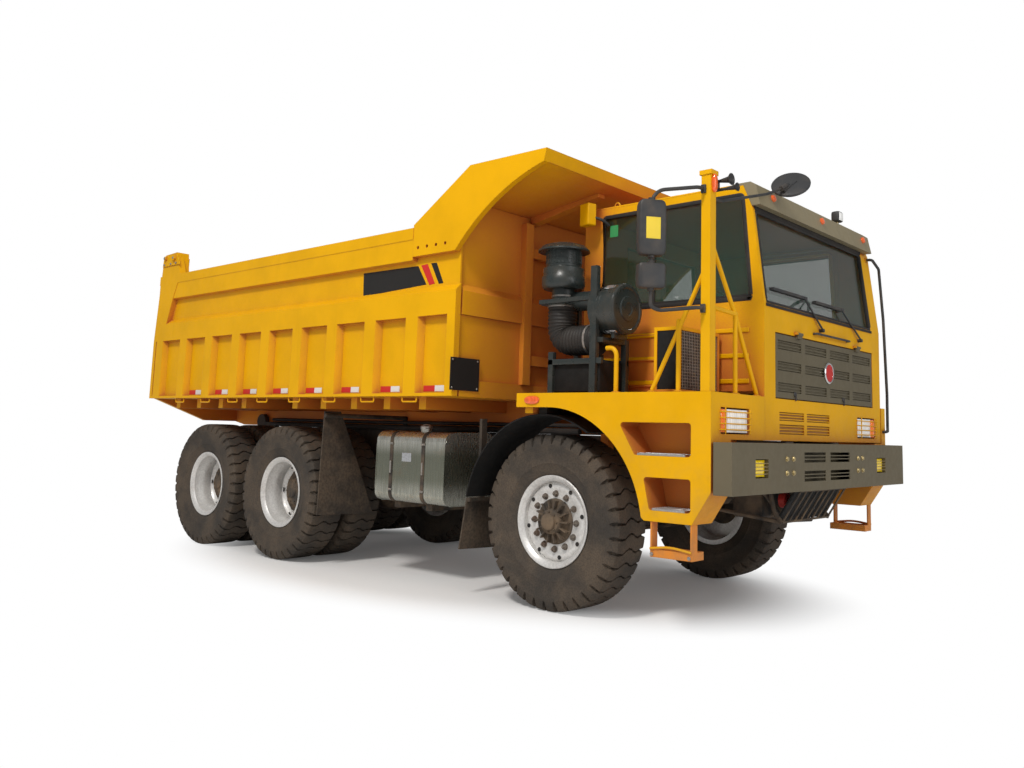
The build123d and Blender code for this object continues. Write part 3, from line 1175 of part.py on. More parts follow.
def walkway_left():
    """Skirt and narrow ledge below the driver's side of the cab."""
    y_in, y_out = CAB_LEFT_Y + 6, -DECK_RIGHT_Y - 1
    body = skirt_box()
    body += block(DECK_REAR_X, DECK_FRONT_X, y_in, y_out, DECK_TOP - DECK_T, DECK_TOP)
    body += block(DECK_FRONT_X - DECK_FACE_T, DECK_FRONT_X, y_in, y_out, SKIRT_CHAMFER_Z, DECK_TOP)
    body += outriggers(-DECK_RIGHT_Y - 40)
    return body - block(CAB_FRONT_X - 90, DECK_FRONT_X + 1, 0, y_in, CAB_SKIRT - 6, DECK_TOP + 1)


def hanging_steps():
    """A strap-hung step below each skirt."""
    (x0, x1), (z0, z1), strap = STEP["x"], STEP["z"], STEP["strap"]
    outer = -DECK_RIGHT_Y - 6
    top = SKIRT_BOTTOM - BEARING_GAP
    step = block(x0, x0 + strap, outer - 70, outer, z0 + 7, top)
    step += block(x1 - strap, x1, outer - 70, outer, z0 + 7, top)
    step += block(x0, x1, outer - STEP["deep"], outer, z0, z1)
    step -= block(x0 + 25, x1 - 25, outer - STEP["deep"] + 20, outer - 20, z0 + 15, z1 + 1)
    return both_sides(step)


def fender_liners():
    """Black wheel-arch liners over the front wheels."""
    ring = Cylinder(LINER_R + LINER_T, LINER_W) - Cylinder(LINER_R, LINER_W + 2)
    ring = Pos(AXLE1_X, -(LINER_Y + LINER_W / 2), AXLE_Z) * Rot(90, 0, 0) * ring
    top = DECK_TOP - DECK_T - 14
    keep = side_plate([(AXLE1_X, AXLE_Z), (AXLE1_X - 1200, AXLE_Z + 210), (AXLE1_X - 1200, top),
                       (AXLE1_X + 560, top)], -1600, -900)
    liner = ring & keep
    liner += block(AXLE1_X - 40, AXLE1_X + 40, -LINER_Y - LINER_W + 10, -LINER_Y - 20, AXLE_Z + LINER_R + 6,
                   DECK_TOP - DECK_T - SEAT_GAP)
    return both_sides(liner)


# Rails, mirrors and horns

def walkway_rails():
    """Mirror post with its braces and upright rails, and the cane-shaped grab tube."""
    y0 = DECK_RIGHT_Y + POST_IN_Y
    inner = y0 + POST_W
    mid_y = y0 + POST_W / 2
    foot = DECK_TOP + SEAT_GAP
    rails = block(POST_X, POST_X + POST_W, y0, inner, foot, POST_CAP[0])
    rails += block(POST_X - 12, POST_X + POST_W + 12, y0 - 8, inner + 12, *POST_CAP)
    side_x = AXLE1_X + 1254
    braces = (
        # start, end
        ((POST_X + 5, mid_y, 2480), (AXLE1_X + 1040, mid_y, foot + 14)),
        ((side_x, mid_y, foot), (side_x, mid_y, 2160)),
        ((BRACE_X, inner - 5, 2690), (BRACE_X, -1165, 2235)),
        ((BRACE_X, -1165, 2235), (BRACE_X, -840, foot + 14)),
        ((BRACE_X, -1150, foot), (BRACE_X, -1150, 2235)),
        ((BRACE_X, inner - 5, 2235), (BRACE_X, -1140, 2225)),
    )
    for start, end in braces:
        rails += rod(start, end, BRACE_R)
    x, y, top = GRAB_TUBE["x"], GRAB_TUBE["y"], GRAB_TUBE["top"]
    tube = bent_bar([(x, y, foot), (x, y, top), (GRAB_TUBE["end"], y, top)], GRAB_TUBE["radius"], 60)
    return [rails, tube]


def mirror_head(x, z, height):
    """One mirror housing on the truck's left, turned toward the driver."""
    housing = Box(MIRROR_SIZE[0], MIRROR_SIZE[1], height)
    housing = fillet(housing.edges().filter_by(Axis.Z), 35)
    return Pos(x, MIRROR_Y, z) * Rot(0, 0, -MIRROR_TURN) * housing


def dish_mirror():
    """Round mirror that looks down at the bumper, on an arm from the post's head."""
    x, y, z = DISH_MIRROR["at"]
    facing = Vector(*DISH_MIRROR["facing"]).normalized()
    dish = Cylinder(DISH_MIRROR["radius"], DISH_MIRROR["thick"])
    dish = fillet(dish.edges().filter_by(GeomType.CIRCLE), DISH_MIRROR["thick"] * 0.4)
    dish = Plane(origin=(x, y, z), z_dir=facing) * dish
    y0 = DECK_RIGHT_Y + POST_IN_Y + POST_W + SEAT_GAP
    arm = bent_bar([(POST_X + 50, y0, 2985), (POST_X + 50, y0 + 90, 2985), (x - 60, y - 260, 3170),
                    (x - 22, y - 90, 3250)], 11, 30)
    knob = rod((x - 22, y - 120, 3235), (x - 5, y - 40, 3282), 22)
    return dish + arm + knob


def mirrors_right():
    """Main and lower mirrors on a bent arm from the post, and the round one."""
    x, y = AXLE1_X + 1270, MIRROR_Y
    start_x, start_y = POST_X + 20, -DECK_RIGHT_Y - POST_IN_Y + SEAT_GAP
    arms = bent_bar([(start_x, start_y, 3040), (start_x, start_y + 60, 3040), (x + 20, y - 60, 3000), (x, y, 2930),
                     (x, y, 2200), (x + 30, y - 60, 2180), (start_x, start_y + 60, 2215),
                     (start_x, start_y, 2215)], MIRROR_ARM_R, 25)
    main_mirror = mirrored(arms + mirror_head(x, 2730, MIRROR_SIZE[2]) + mirror_head(x, 2405, 170))
    return [main_mirror, dish_mirror()]


def mirror_left():
    """Mirror on two arms from the cab's front pillar."""
    x, y = AXLE1_X + 1222, MIRROR_Y
    start_x, start_y = AXLE1_X + 1310, CAB_LEFT_Y + SEAT_GAP
    arms = bent_bar([(start_x, start_y, 2960), (start_x, start_y + 80, 2960), (x, y, 2940), (x, y, 2440),
                     (start_x, start_y + 80, 2400), (start_x, start_y, 2400)], MIRROR_ARM_R, 25)
    return arms + mirror_head(x, 2700, MIRROR_SIZE[2])


def horns():
    """Two trumpet horns on a bracket from the post's inner side."""
    inner = DECK_RIGHT_Y + POST_IN_Y + POST_W
    body = block(POST_X + 10, POST_X + 60, inner + SEAT_GAP, HORNS[0][0] + 8, HORNS[1][1] - 8, HORNS[0][1] + 8)
    tail_x = POST_X - 60
    for y, z, length, bell in HORNS:
        end_x = tail_x + length
        body += rod((tail_x, y, z), (tail_x + 70, y, z), 24)
        flare = [(tail_x + 69, z), (tail_x + 69, z + 11), (end_x - 90, z + 11), (end_x - 20, z + bell * 0.55),
                 (end_x, z + bell), (end_x + 3, z + bell), (end_x - 30, z)]
        outline = make_face(Polyline([(x, y, h) for x, h in flare], close=True))
        body += revolve(outline, axis=Axis((0, y, z), (1, 0, 0)))
    return body


# Air intake, filter and cooler box

def air_intake():
    """Mushroom pre-cleaner, its neck and the elbow hose to the filter."""
    profile = [(0, 2905), (120, 2900), (215, 2880), (290, 2815), (290, 2795), (215, 2815),
               (215, 2690), (232, 2680), (232, 2580), (215, 2565), (INTAKE_NECK_R, 2555),
               (INTAKE_NECK_R, 2390), (0, 2390)]
    face = make_face(Polyline([(r, 0, z) for r, z in profile], close=True))
    stack = Pos(INTAKE_X, INTAKE_Y, 0) * revolve(face, axis=Axis.Z)
    elbow = bent_bar([(INTAKE_X, INTAKE_Y, 2395), (INTAKE_X, INTAKE_Y, ELBOW_Z),
                      (FILTER_BACK_X + 60, INTAKE_Y, ELBOW_Z)], INTAKE_HOSE_R, 160)
    return stack + elbow


def air_filter():
    """Filter drum with its end cap, on the black stand beside the cab."""
    x0 = FILTER_BACK_X + 60 + SEAT_GAP
    x1 = FILTER_BACK_X + 60 + FILTER_LEN
    y = INTAKE_Y
    drum = rod((x0, y, FILTER_Z), (x1, y, FILTER_Z), FILTER_R - 12)
    drum += rod((x1 - 95, y, FILTER_Z), (x1 + 20, y, FILTER_Z), FILTER_R)
    drum += rod((x1 + 20, y, FILTER_Z), (x1 + 32, y, FILTER_Z), FILTER_R * 0.62)
    foot = DECK_TOP + SEAT_GAP
    drum += block(x0 + 20, x1 - 20, y - 150, y + 150, SHELF_Z, SHELF_Z + 90)
    for px in (x0 + 20, x1 - 20 - STAND_LEG):
        for py in (y - 200, y + 150):
            drum += block(px, px + STAND_LEG, py, py + STAND_LEG, foot, SHELF_Z + 20)
    drum += block(x0 + 20, x1 - 20, y - 200, y + 200, SHELF_Z - 20, SHELF_Z + 1)
    post_x = INTAKE_X + 236
    post_y = y - INTAKE_NECK_R - 1 - STAND_POST
    drum += block(post_x, post_x + STAND_POST, post_y, post_y + STAND_POST, foot, 2700)
    drum += block(post_x, x0 + 21, post_y, post_y + STAND_POST, SHELF_Z - 20, SHELF_Z)
    low, high = CLAMP_Z
    clamp = rod((INTAKE_X, y, low), (INTAKE_X, y, high), INTAKE_NECK_R + 12)
    clamp += block(INTAKE_X, post_x + 1, post_y, post_y + STAND_POST, low, high)
    return drum + (clamp - rod((INTAKE_X, y, low - 1), (INTAKE_X, y, high + 1), INTAKE_NECK_R + SEAT_GAP))


def cooler_box():
    """Screened box on the walkway beside the cab, with a recessed front and side."""
    (x0, x1), (y0, y1), top, edge = COOLER["x"], COOLER["y"], COOLER["top"], COOLER["edge"]
    low = DECK_TOP + SEAT_GAP
    box = block(x0, x1, y0, y1, low, top)
    box -= block(x1 - 12, x1 + 1, y0 + edge, y1 - edge, low + edge, top - edge)
    return box - block(x0 + edge, x1 - edge, y0 - 1, y0 + 8, low + edge, top - edge)


# Tank, stores and flaps

def fuel_tank():
    """Rounded tank with its filler."""
    (x0, x1), (y0, y1), (z0, z1) = TANK["x"], TANK["y"], TANK["z"]
    tank = block(x0, x1, y0, y1, z0, z1)
    tank = fillet(tank.edges().filter_by(Axis.X), TANK_ROUND)
    x, y = TANK_CAP["x"], y0 + TANK_CAP["in"]
    return tank + rod((x, y, z1 - 1), (x, y, z1 + TANK_CAP["high"]), TANK_CAP["radius"])


def tank_straps():
    """Two straps round the tank and the bracket arms from the frame."""
    (y0, y1), (z0, z1) = TANK["y"], TANK["z"]
    pieces = []
    for x in STRAP_X:
        outer = block(x, x + STRAP_W, y0 - STRAP_T, y1 + STRAP_T, z0 - STRAP_T, z1 + STRAP_T)
        outer = fillet(outer.edges().filter_by(Axis.X), TANK_ROUND + STRAP_T)
        inner = block(x - 1, x + STRAP_W + 1, y0 - SEAT_GAP, y1 + SEAT_GAP, z0 - SEAT_GAP, z1 + SEAT_GAP)
        strap = outer - fillet(inner.edges().filter_by(Axis.X), TANK_ROUND)
        arm = (x - 20, x + STRAP_W + 20)
        strap += block(*arm, y1 + 4, -RAIL_OUT - SEAT_GAP, z0 + 150, z1 - 40)
        strap += block(*arm, y0 + 100, y1 + 5, z0 - 60, z0 - 4)
        strap += block(*arm, y1 + 4, y1 + 60, z0 - 60, z0 + 151)
        pieces.append(strap)
    return pieces


def side_stores():
    """Battery box and two air tanks on the left of the frame."""
    x0 = BATTERY_X
    battery = block(x0, x0 + 520, 720, 1300, 760, 1240)
    battery += block(x0 + 40, x0 + 480, RAIL_OUT + SEAT_GAP, 721, 1020, 1200)
    (low, high), radius, y = AIR_TANKS["z"], AIR_TANKS["radius"], AIR_TANKS["y"]
    tanks = rod((x0 - 760, y, low), (x0 - 90, y, low), radius)
    tanks += rod((x0 - 760, y, high), (x0 - 90, y, high), radius)
    tanks += block(x0 - 560, x0 - 500, y - 30, y + 30, low, high)
    tanks += block(x0 - 560, x0 - 500, RAIL_OUT + SEAT_GAP, y, high - 30, high + 30)
    return [battery, tanks]


def mud_flaps():
    """Rubber flaps ahead of the middle wheels and behind the front wheels, with hangers."""
    x = MID_FLAP_X
    mid = front_plate([(1490, 1508), (1300, 1508), (1032, 938), (838, 490), (1514, 505)], x, x + FLAP_T)
    back, front_x = x + FLAP_T, x + FLAP_T + 44
    mid += block(back, front_x, RAIL_OUT + SEAT_GAP, RAIL_OUT + 40, 1150, RAIL_TOP - 5)
    mid += block(back, front_x, SILL_HALF_OUT + 8, RAIL_OUT + 40, RAIL_TOP - 6, 1466)
    mid += rod_y(x + 22 + FLAP_T, RAIL_OUT + 20, 1500, 1466, 22)
    x = FRONT_FLAP_X
    flap = front_plate([(1414, 800), (1125, 800), (1070, 372), (1484, 385)], x, x + FLAP_T)
    back, front_x = x + FLAP_T, x + FLAP_T + 30
    flap += block(back, front_x, 1125, 1414, 770, 800)
    flap += block(back, front_x, 1240, 1300, 799, 1460)
    flap += block(back, front_x, RAIL_OUT + SEAT_GAP, 1300, 1170, 1230)
    return both_sides(mid) + both_sides(flap)


# Lamps and bumper

def lamps():
    """Head and fog lamps, roof markers, work lamp, side lamp and post lamp."""
    pieces = []
    z0, z1 = HEADLAMP["z"]
    for y0, y1 in (HEADLAMP["right"], HEADLAMP["left"]):
        pieces.append(block(DECK_FRONT_X - LAMP_POCKET + BEARING_GAP, DECK_FRONT_X + LAMP_PROUD, y0, y1, z0, z1))
    z0, z1 = FOG["z"]
    for y0, y1 in (FOG["right"], FOG["left"]):
        pieces.append(block(FRONT_X - LAMP_POCKET + BEARING_GAP, FRONT_X - 3, y0, y1, z0, z1))
    (low_x, low_z), (high_x, high_z) = VISOR_FACE
    out = Vector(high_z - low_z, 0, low_x - high_x).normalized()
    share = (MARKERS["z"] - low_z) / (high_z - low_z)
    for y in MARKERS["y"]:
        seat = Vector(low_x + (high_x - low_x) * share, y, MARKERS["z"]) + out * SEAT_GAP
        pieces.append(rod(seat, seat + out * MARKERS["proud"], MARKERS["radius"]))
    x, y, high = WORK_LAMP["x"], WORK_LAMP["y"], WORK_LAMP["size"][2]
    foot = VISOR_TOP + SEAT_GAP
    head = lens((x, y, foot + WORK_LAMP["stem"] + high / 2), WORK_LAMP["size"], 18)
    pieces.append(head + rod((x, y, foot), (x, y, foot + WORK_LAMP["stem"] + 10), 14))
    size = SIDE_LAMP["size"]
    pieces.append(lens((SIDE_LAMP["x"], DECK_RIGHT_Y - SEAT_GAP - size[1] / 2, SIDE_LAMP["z"]), size, 5))
    size = POST_LAMP["size"]
    post_y = DECK_RIGHT_Y + POST_IN_Y + POST_W / 2
    pieces.append(lens((POST_X + POST_W + SEAT_GAP + size[0] / 2, post_y, POST_LAMP["z"]), size, 10))
    return pieces


def bumper():
    """Hollow box bumper with slots and fog lamp pockets."""
    x0, x1, wall = FRONT_X - BUMPER_DEPTH, FRONT_X, BUMPER_WALL
    body = block(x0, x1, -BUMPER_HALF, BUMPER_HALF, BUMPER_BOTTOM, BUMPER_TOP)
    body -= block(x0 + wall, x1 - wall, -BUMPER_HALF + wall, BUMPER_HALF - wall, BUMPER_BOTTOM + wall,
                  BUMPER_TOP - wall)
    for y0, y1 in BUMPER_SLOTS:
        for z0, z1 in BUMPER_SLOT_Z:
            body -= block(x1 - wall - 1, x1 + 1, y0, y1, z0, z1)
            for step in (1, 2):
                z = z0 + (z1 - z0) * step / 3
                body += block(x1 - wall, x1 - 2, y0 - 1, y1 + 1, z - 4, z + 4)
    z0, z1 = FOG["z"]
    for y0, y1 in (FOG["right"], FOG["left"]):
        body += block(x1 - LAMP_POCKET - 10, x1 - 2, y0 - 14, y1 + 14, z0 - 14, z1 + 14)
        body -= block(x1 - LAMP_POCKET, x1 + 1, y0 - 4, y1 + 4, z0 - 4, z1 + 4)
    return body


def bar_guard():
    """Slanted row of bars below the bumper."""
    top, low = (AXLE1_X + 1600, BUMPER_BOTTOM - 9 - SEAT_GAP), GUARD_FOOT
    y0, y1 = GUARD_Y
    guard = rod_y(top[0], y0, y1, top[1], 9) + rod_y(low[0], y0, y1, low[1], 9)
    for k in range(GUARD_BARS):
        y = y0 + 10 + k * (y1 - y0 - 20) / (GUARD_BARS - 1)
        guard += rod((top[0], y, top[1]), (low[0], y, low[1]), 8)
    return guard


def main():
    """Writes every node."""
    os.makedirs("parts", exist_ok=True)
    for name, side in (("right", -1), ("left", 1)):
        tyre_set, wheel_set = front_wheel(side)
        save(f"tyre_front_{name}", tyre_set)
        save(f"wheel_front_{name}", wheel_set)
        save(f"knuckle_{name}", knuckle(side))
        for place, axle_x in (("mid", AXLE2_X), ("rear", AXLE3_X)):
            tyre_set, wheel_set = twin_wheels(axle_x, side)
            save(f"tyres_{place}_{name}", tyre_set)
            save(f"wheels_{place}_{name}", wheel_set)
    makers = (frame_rails, bumper, bar_guard, lamps, engine_block, springs, propshafts, fuel_tank, tank_straps,
              side_stores, mud_flaps, fender_liners, walkway_right, hanging_steps, step_treads, walkway_rails,
              mirrors_right, mirror_left, horns, air_intake, air_filter, cooler_box, cab_shell, cab_glass, visor,
              wipers, grille_flap, door_panel, door_glass, cab_handrail, driver_seat, dashboard, body_floor,
              body_front_wall, body_canopy, tailgate)
    for maker in makers:
        save(maker.__name__, maker())
    save("front_axle", front_axle_beam())
    save("driven_axles", [driven_axle(AXLE2_X), driven_axle(AXLE3_X)])
    save("skirt_left", walkway_left())
    save("body_sides", both_sides(body_side()))
    save("hoist_barrels", [hoist_barrel(-1), hoist_barrel(1)])
    save("hoist_rods", [hoist_rod(-1), hoist_rod(1)])


if __name__ == "__main__":
    main()
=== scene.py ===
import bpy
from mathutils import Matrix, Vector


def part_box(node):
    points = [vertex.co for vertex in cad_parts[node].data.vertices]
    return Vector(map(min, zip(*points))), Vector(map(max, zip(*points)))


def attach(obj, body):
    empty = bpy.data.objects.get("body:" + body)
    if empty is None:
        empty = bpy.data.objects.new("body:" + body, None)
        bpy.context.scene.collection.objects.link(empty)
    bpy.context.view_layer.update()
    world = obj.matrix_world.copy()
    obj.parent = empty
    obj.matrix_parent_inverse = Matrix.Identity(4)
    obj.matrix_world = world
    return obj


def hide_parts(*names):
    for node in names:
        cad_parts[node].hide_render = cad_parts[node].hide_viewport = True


bl_info = {
    "name": "Mining Dump Truck",
    "version": (1, 0, 0),
    "blender": (4, 5, 0),
    "location": "View3D > Sidebar > Dump Truck",
    "description": "Dresses the packed dump truck with tyres, trim, paint and a studio",
    "category": "Object",
}

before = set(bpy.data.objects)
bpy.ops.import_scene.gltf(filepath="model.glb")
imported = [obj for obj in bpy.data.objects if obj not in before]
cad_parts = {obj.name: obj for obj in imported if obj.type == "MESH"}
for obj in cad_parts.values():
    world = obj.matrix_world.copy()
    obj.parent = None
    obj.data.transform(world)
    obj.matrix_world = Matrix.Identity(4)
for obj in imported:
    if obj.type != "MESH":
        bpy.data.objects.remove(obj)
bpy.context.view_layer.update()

import math

import bmesh
import bpy
import numpy as np
from mathutils import Matrix, Vector

# Lengths are in metres: x runs forward, y to the truck's left and z up from the ground.

ROOT = "chassis_and_cab"
FINISHES = {}
X, Y, Z = np.eye(3)


def centre_of(node):
    """Middle of a CAD node's box."""
    low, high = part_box(node)
    return np.array([(low[i] + high[i]) / 2 for i in range(3)])


AXLE1 = centre_of("tyre_front_right")
AXLE2 = centre_of("tyres_mid_right")
AXLE3 = centre_of("tyres_rear_right")
FRONT_TYRE_Y = abs(AXLE1[1])
TWIN_HALF = 0.230
TWIN_Y = abs(AXLE2[1])


# Shapes


class Shell:
    """Points with quads and end polygons, all as arrays."""

    def __init__(self, points, quads, polygons=(), finish=0):
        self.points = np.asarray(points, float).reshape(-1, 3)
        self.quads = np.asarray(quads, int).reshape(-1, 4)
        self.polygons = [np.asarray(p, int) for p in polygons]
        self.finish = finish

    def moved(self, offset):
        """The same shell shifted by offset."""
        return Shell(self.points + np.asarray(offset), self.quads, self.polygons, self.finish)

    def turned(self, angle, axis):
        """The same shell turned by angle in degrees about an axis through the origin."""
        turn = np.array(Matrix.Rotation(math.radians(angle), 3, Vector(axis)))
        return Shell(self.points @ turn.T, self.quads, self.polygons, self.finish)

    def mirrored(self):
        """The same shell on the truck's other side: y becomes -y."""
        return Shell(self.points * (1, -1, 1), self.quads, self.polygons, self.finish)


def end_caps(rows, cols):
    """The first and last rings of a rows by cols grid, as polygons."""
    return [np.arange(cols)[::-1], (rows - 1) * cols + np.arange(cols)]


def grid_quads(rows, cols, closed_rows=False, closed_cols=True):
    """Quads between neighbouring points of a rows by cols grid."""
    i, j = np.meshgrid(np.arange(rows if closed_rows else rows - 1),
                       np.arange(cols if closed_cols else cols - 1), indexing="ij")
    i2, j2 = (i + 1) % rows, (j + 1) % cols
    return np.stack([i * cols + j, i * cols + j2, i2 * cols + j2, i2 * cols + j], -1).reshape(-1, 4)


def frame_of(axis):
    """Two unit vectors square to an axis, and the axis itself at unit length."""
    axis = np.asarray(axis, float) / np.linalg.norm(axis)
    helper = Z if abs(axis[2]) < 0.9 else X
    a = np.cross(helper, axis)
    a /= np.linalg.norm(a)
    return a, np.cross(axis, a), axis


def lathe(profile, sides, origin, axis, finish=0, closed=False):
    """Surface of revolution: ring k has points origin + h*axis + r*(cos t*a + sin t*b), where
    (r, h) is the profile's point k. The two end rings are capped unless the profile is closed."""
    a, b, n = frame_of(axis)
    t = np.arange(sides) * 2 * math.pi / sides
    around = np.cos(t)[:, None] * a + np.sin(t)[:, None] * b
    r, h = np.asarray(profile, float).T
    points = np.asarray(origin) + h[:, None, None] * n + r[:, None, None] * around
    rows = len(r)
    ends = [] if closed else end_caps(rows, sides)
    return Shell(points, grid_quads(rows, sides, closed_rows=closed), ends, finish)


def rounded_rectangle(width, height, radius, steps=3):
    """Closed outline: quarter circles about the four corners' centres."""
    t = np.linspace(0, math.pi / 2, steps)
    corners = []
    for k, (sx, sy) in enumerate(((1, 1), (-1, 1), (-1, -1), (1, -1))):
        angle = t + k * math.pi / 2
        corners.append(np.stack([sx * (width / 2 - radius) + radius * np.cos(angle),
                                 sy * (height / 2 - radius) + radius * np.sin(angle)], -1))
    return np.concatenate(corners)


def bar(low, high, bevel=0.003, finish=0, axis=2):
    """Box with rounded edges: a rectangle with quarter-circle corners, carried along one axis
    through four stations, the outer two drawn in by the bevel."""
    low, high = np.minimum(low, high), np.maximum(low, high)
    size, middle = high - low, (low + high) / 2
    bevel = min(bevel, 0.45 * size.min())
    i, j = [k for k in range(3) if k != axis]
    outline = rounded_rectangle(size[i], size[j], bevel)
    inner = rounded_rectangle(size[i] - 2 * bevel, size[j] - 2 * bevel, 1e-5)
    rows = []
    for flat, h in ((inner, -size[axis] / 2), (outline, bevel - size[axis] / 2),
                    (outline, size[axis] / 2 - bevel), (inner, size[axis] / 2)):
        ring = np.zeros((len(flat), 3))
        ring[:, i], ring[:, j], ring[:, axis] = flat[:, 0], flat[:, 1], h
        rows.append(ring + middle)
    cols = len(outline)
    return Shell(np.concatenate(rows), grid_quads(4, cols), end_caps(4, cols), finish)


def rounded_path(corners, radius, steps=6):
    """Straight runs with each corner replaced by a quadratic curve that starts and ends one
    radius from it, or less where a run is short."""
    corners = np.asarray(corners, float)
    out = [corners[:1]]
    for before, here, after in zip(corners[:-2], corners[1:-1], corners[2:]):
        back, ahead = before - here, after - here
        reach = min(radius, 0.45 * np.linalg.norm(back), 0.45 * np.linalg.norm(ahead))
        p0 = here + back / np.linalg.norm(back) * reach
        p2 = here + ahead / np.linalg.norm(ahead) * reach
        t = np.linspace(0, 1, steps)[:, None]
        out.append((1 - t) ** 2 * p0 + 2 * t * (1 - t) * here + t ** 2 * p2)
    out.append(corners[-1:])
    return np.concatenate(out)


def carried(path, outline, up=Z, finish=0, grow=None):
    """An outline carried along a path: point = path + a*side + b*top, where side is square to
    the path and to up. grow scales the outline at each station."""
    path = np.asarray(path, float)
    run = np.gradient(path, axis=0)
    run /= np.linalg.norm(run, axis=1)[:, None]
    side = np.cross(run, np.asarray(up, float))
    length = np.linalg.norm(side, axis=1)
    side[length < 1e-3] = np.cross(run[length < 1e-3], X)
    side /= np.linalg.norm(side, axis=1)[:, None]
    top = np.cross(side, run)
    outline = np.asarray(outline, float)
    scale = np.ones(len(path)) if grow is None else np.asarray(grow, float)
    points = (path[:, None] + scale[:, None, None] * (outline[None, :, :1] * side[:, None]
                                                      + outline[None, :, 1:] * top[:, None]))
    rows, cols = len(path), len(outline)
    return Shell(points, grid_quads(rows, cols), end_caps(rows, cols), finish)


def circle(radius, sides=10):
    """Round outline."""
    t = np.arange(sides) * 2 * math.pi / sides
    return np.stack([radius * np.cos(t), radius * np.sin(t)], -1)


def tube(corners, radius, finish=0, bend=0.05, sides=10, up=(0.13, 0.27, 0.95)):
    """Round bar along runs with rounded corners."""
    return carried(rounded_path(corners, bend), circle(radius, sides), up, finish=finish)


def plate(outline, low, high, axis, finish=0):
    """Flat outline in the two other axes, carried straight from low to high along one axis."""
    outline = np.asarray(outline, float)
    i, j = [k for k in range(3) if k != axis]
    rows = np.zeros((2, len(outline), 3))
    rows[:, :, i], rows[:, :, j] = outline[:, 0], outline[:, 1]
    rows[0, :, axis], rows[1, :, axis] = low, high
    cols = len(outline)
    return Shell(rows, grid_quads(2, cols), end_caps(2, cols), finish)


def swollen(wave, power):
    """A sine or cosine with its sign kept and its size raised to 2 / power."""
    return np.sign(wave) * np.abs(wave) ** (2 / power)


def superbox(middle, size, power=4.0, finish=0, tilt=0.0):
    """Cushion: x = c(u)*c(v), y = c(u)*s(v) and z = s(u), each times half the size, where c and
    s are the cosine and the sine, swollen toward a box by the power."""
    u = np.linspace(-math.pi / 2, math.pi / 2, 17)[1:-1]
    v = np.arange(28) * 2 * math.pi / 28
    x = swollen(np.cos(u), power)[:, None] * swollen(np.cos(v), power)
    y = swollen(np.cos(u), power)[:, None] * swollen(np.sin(v), power)
    z = swollen(np.sin(u), power)[:, None] + 0 * v
    points = np.stack([x, y, z], -1) * np.array(size) / 2
    cols = len(v)
    shell = Shell(points, grid_quads(len(u), cols), end_caps(len(u), cols), finish)
    return shell.turned(tilt, (0, 1, 0)).moved(middle)


def repeated(shell, offsets):
    """One shell at many places, as one shell."""
    offsets = np.asarray(offsets, float).reshape(-1, 3)
    count = len(shell.points)
    shift = (np.arange(len(offsets)) * count)[:, None, None]
    quads = (shell.quads[None] + shift).reshape(-1, 4)
    ends = [p + count * k for k in range(len(offsets)) for p in shell.polygons]
    return Shell((shell.points[None] + offsets[:, None]).reshape(-1, 3), quads, ends, shell.finish)


def hex_bolt(radius, height, axis, finish=0):
    """Hexagonal head on a washer, standing on the plane through the origin."""
    washer = lathe([(radius * 1.35, 0), (radius * 1.35, height * 0.2), (radius, height * 0.2)], 12,
                   (0, 0, 0), axis, finish=finish)
    head = lathe([(radius, height * 0.18), (radius, height * 0.85), (radius * 0.82, height)], 6,
                 (0, 0, 0), axis, finish=finish)
    return [washer, head]


def bolts(places, radius, height, axis, finish=0):
    """Bolt heads at each of the places."""
    return [repeated(part, places) for part in hex_bolt(radius, height, axis, finish)]


def ring_places(centre, radius, count, axis, turn=0.0):
    """Points evenly round a circle."""
    a, b, _ = frame_of(axis)
    t = turn + np.arange(count) * 2 * math.pi / count
    return np.asarray(centre) + radius * (np.cos(t)[:, None] * a + np.sin(t)[:, None] * b)


def flattened(shells):
    """Shells from single ones and lists of them."""
    return [s for group in shells for s in (group if isinstance(group, list) else [group])]


def build(name, shells, finish_names, body, replaces=(), smooth=35.0):
    """Joins shells to one object at the origin, with its normals outward and its hard edges
    kept, and ties it to its CAD body."""
    shells = flattened(shells)
    mesh = bpy.data.meshes.new(name)
    points = np.concatenate([s.points for s in shells])
    faces, totals, finish, start = [], [], [], 0
    for s in shells:
        faces.append((s.quads + start).ravel())
        totals.append(np.full(len(s.quads), 4))
        finish.append(np.full(len(s.quads) + len(s.polygons), s.finish))
        for p in s.polygons:
            faces.append(p + start)
            totals.append([len(p)])
        start += len(s.points)
    corners, totals = np.concatenate(faces), np.concatenate(totals)
    mesh.vertices.add(len(points))
    mesh.vertices.foreach_set("co", points.ravel())
    mesh.loops.add(len(corners))
    mesh.loops.foreach_set("vertex_index", corners)
    mesh.polygons.add(len(totals))
    mesh.polygons.foreach_set("loop_start", np.concatenate([[0], np.cumsum(totals)[:-1]]))
    mesh.polygons.foreach_set("loop_total", totals)
    mesh.polygons.foreach_set("material_index", np.concatenate(finish))
    mesh.update()
    mesh.validate()
    work = bmesh.new()
    work.from_mesh(mesh)
    bmesh.ops.recalc_face_normals(work, faces=work.faces)
    work.to_mesh(mesh)
    work.free()
    mesh.polygons.foreach_set("use_smooth", np.ones(len(mesh.polygons), bool))
    mesh.set_sharp_from_angle(angle=math.radians(smooth))
    for finish_name in ([finish_names] if isinstance(finish_names, str) else finish_names):
        mesh.materials.append(FINISHES[finish_name])
    piece = bpy.data.objects.new(name, mesh)
    bpy.context.scene.collection.objects.link(piece)
    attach(piece, body)
    if replaces:
        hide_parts(*replaces)
    return piece


# Finishes


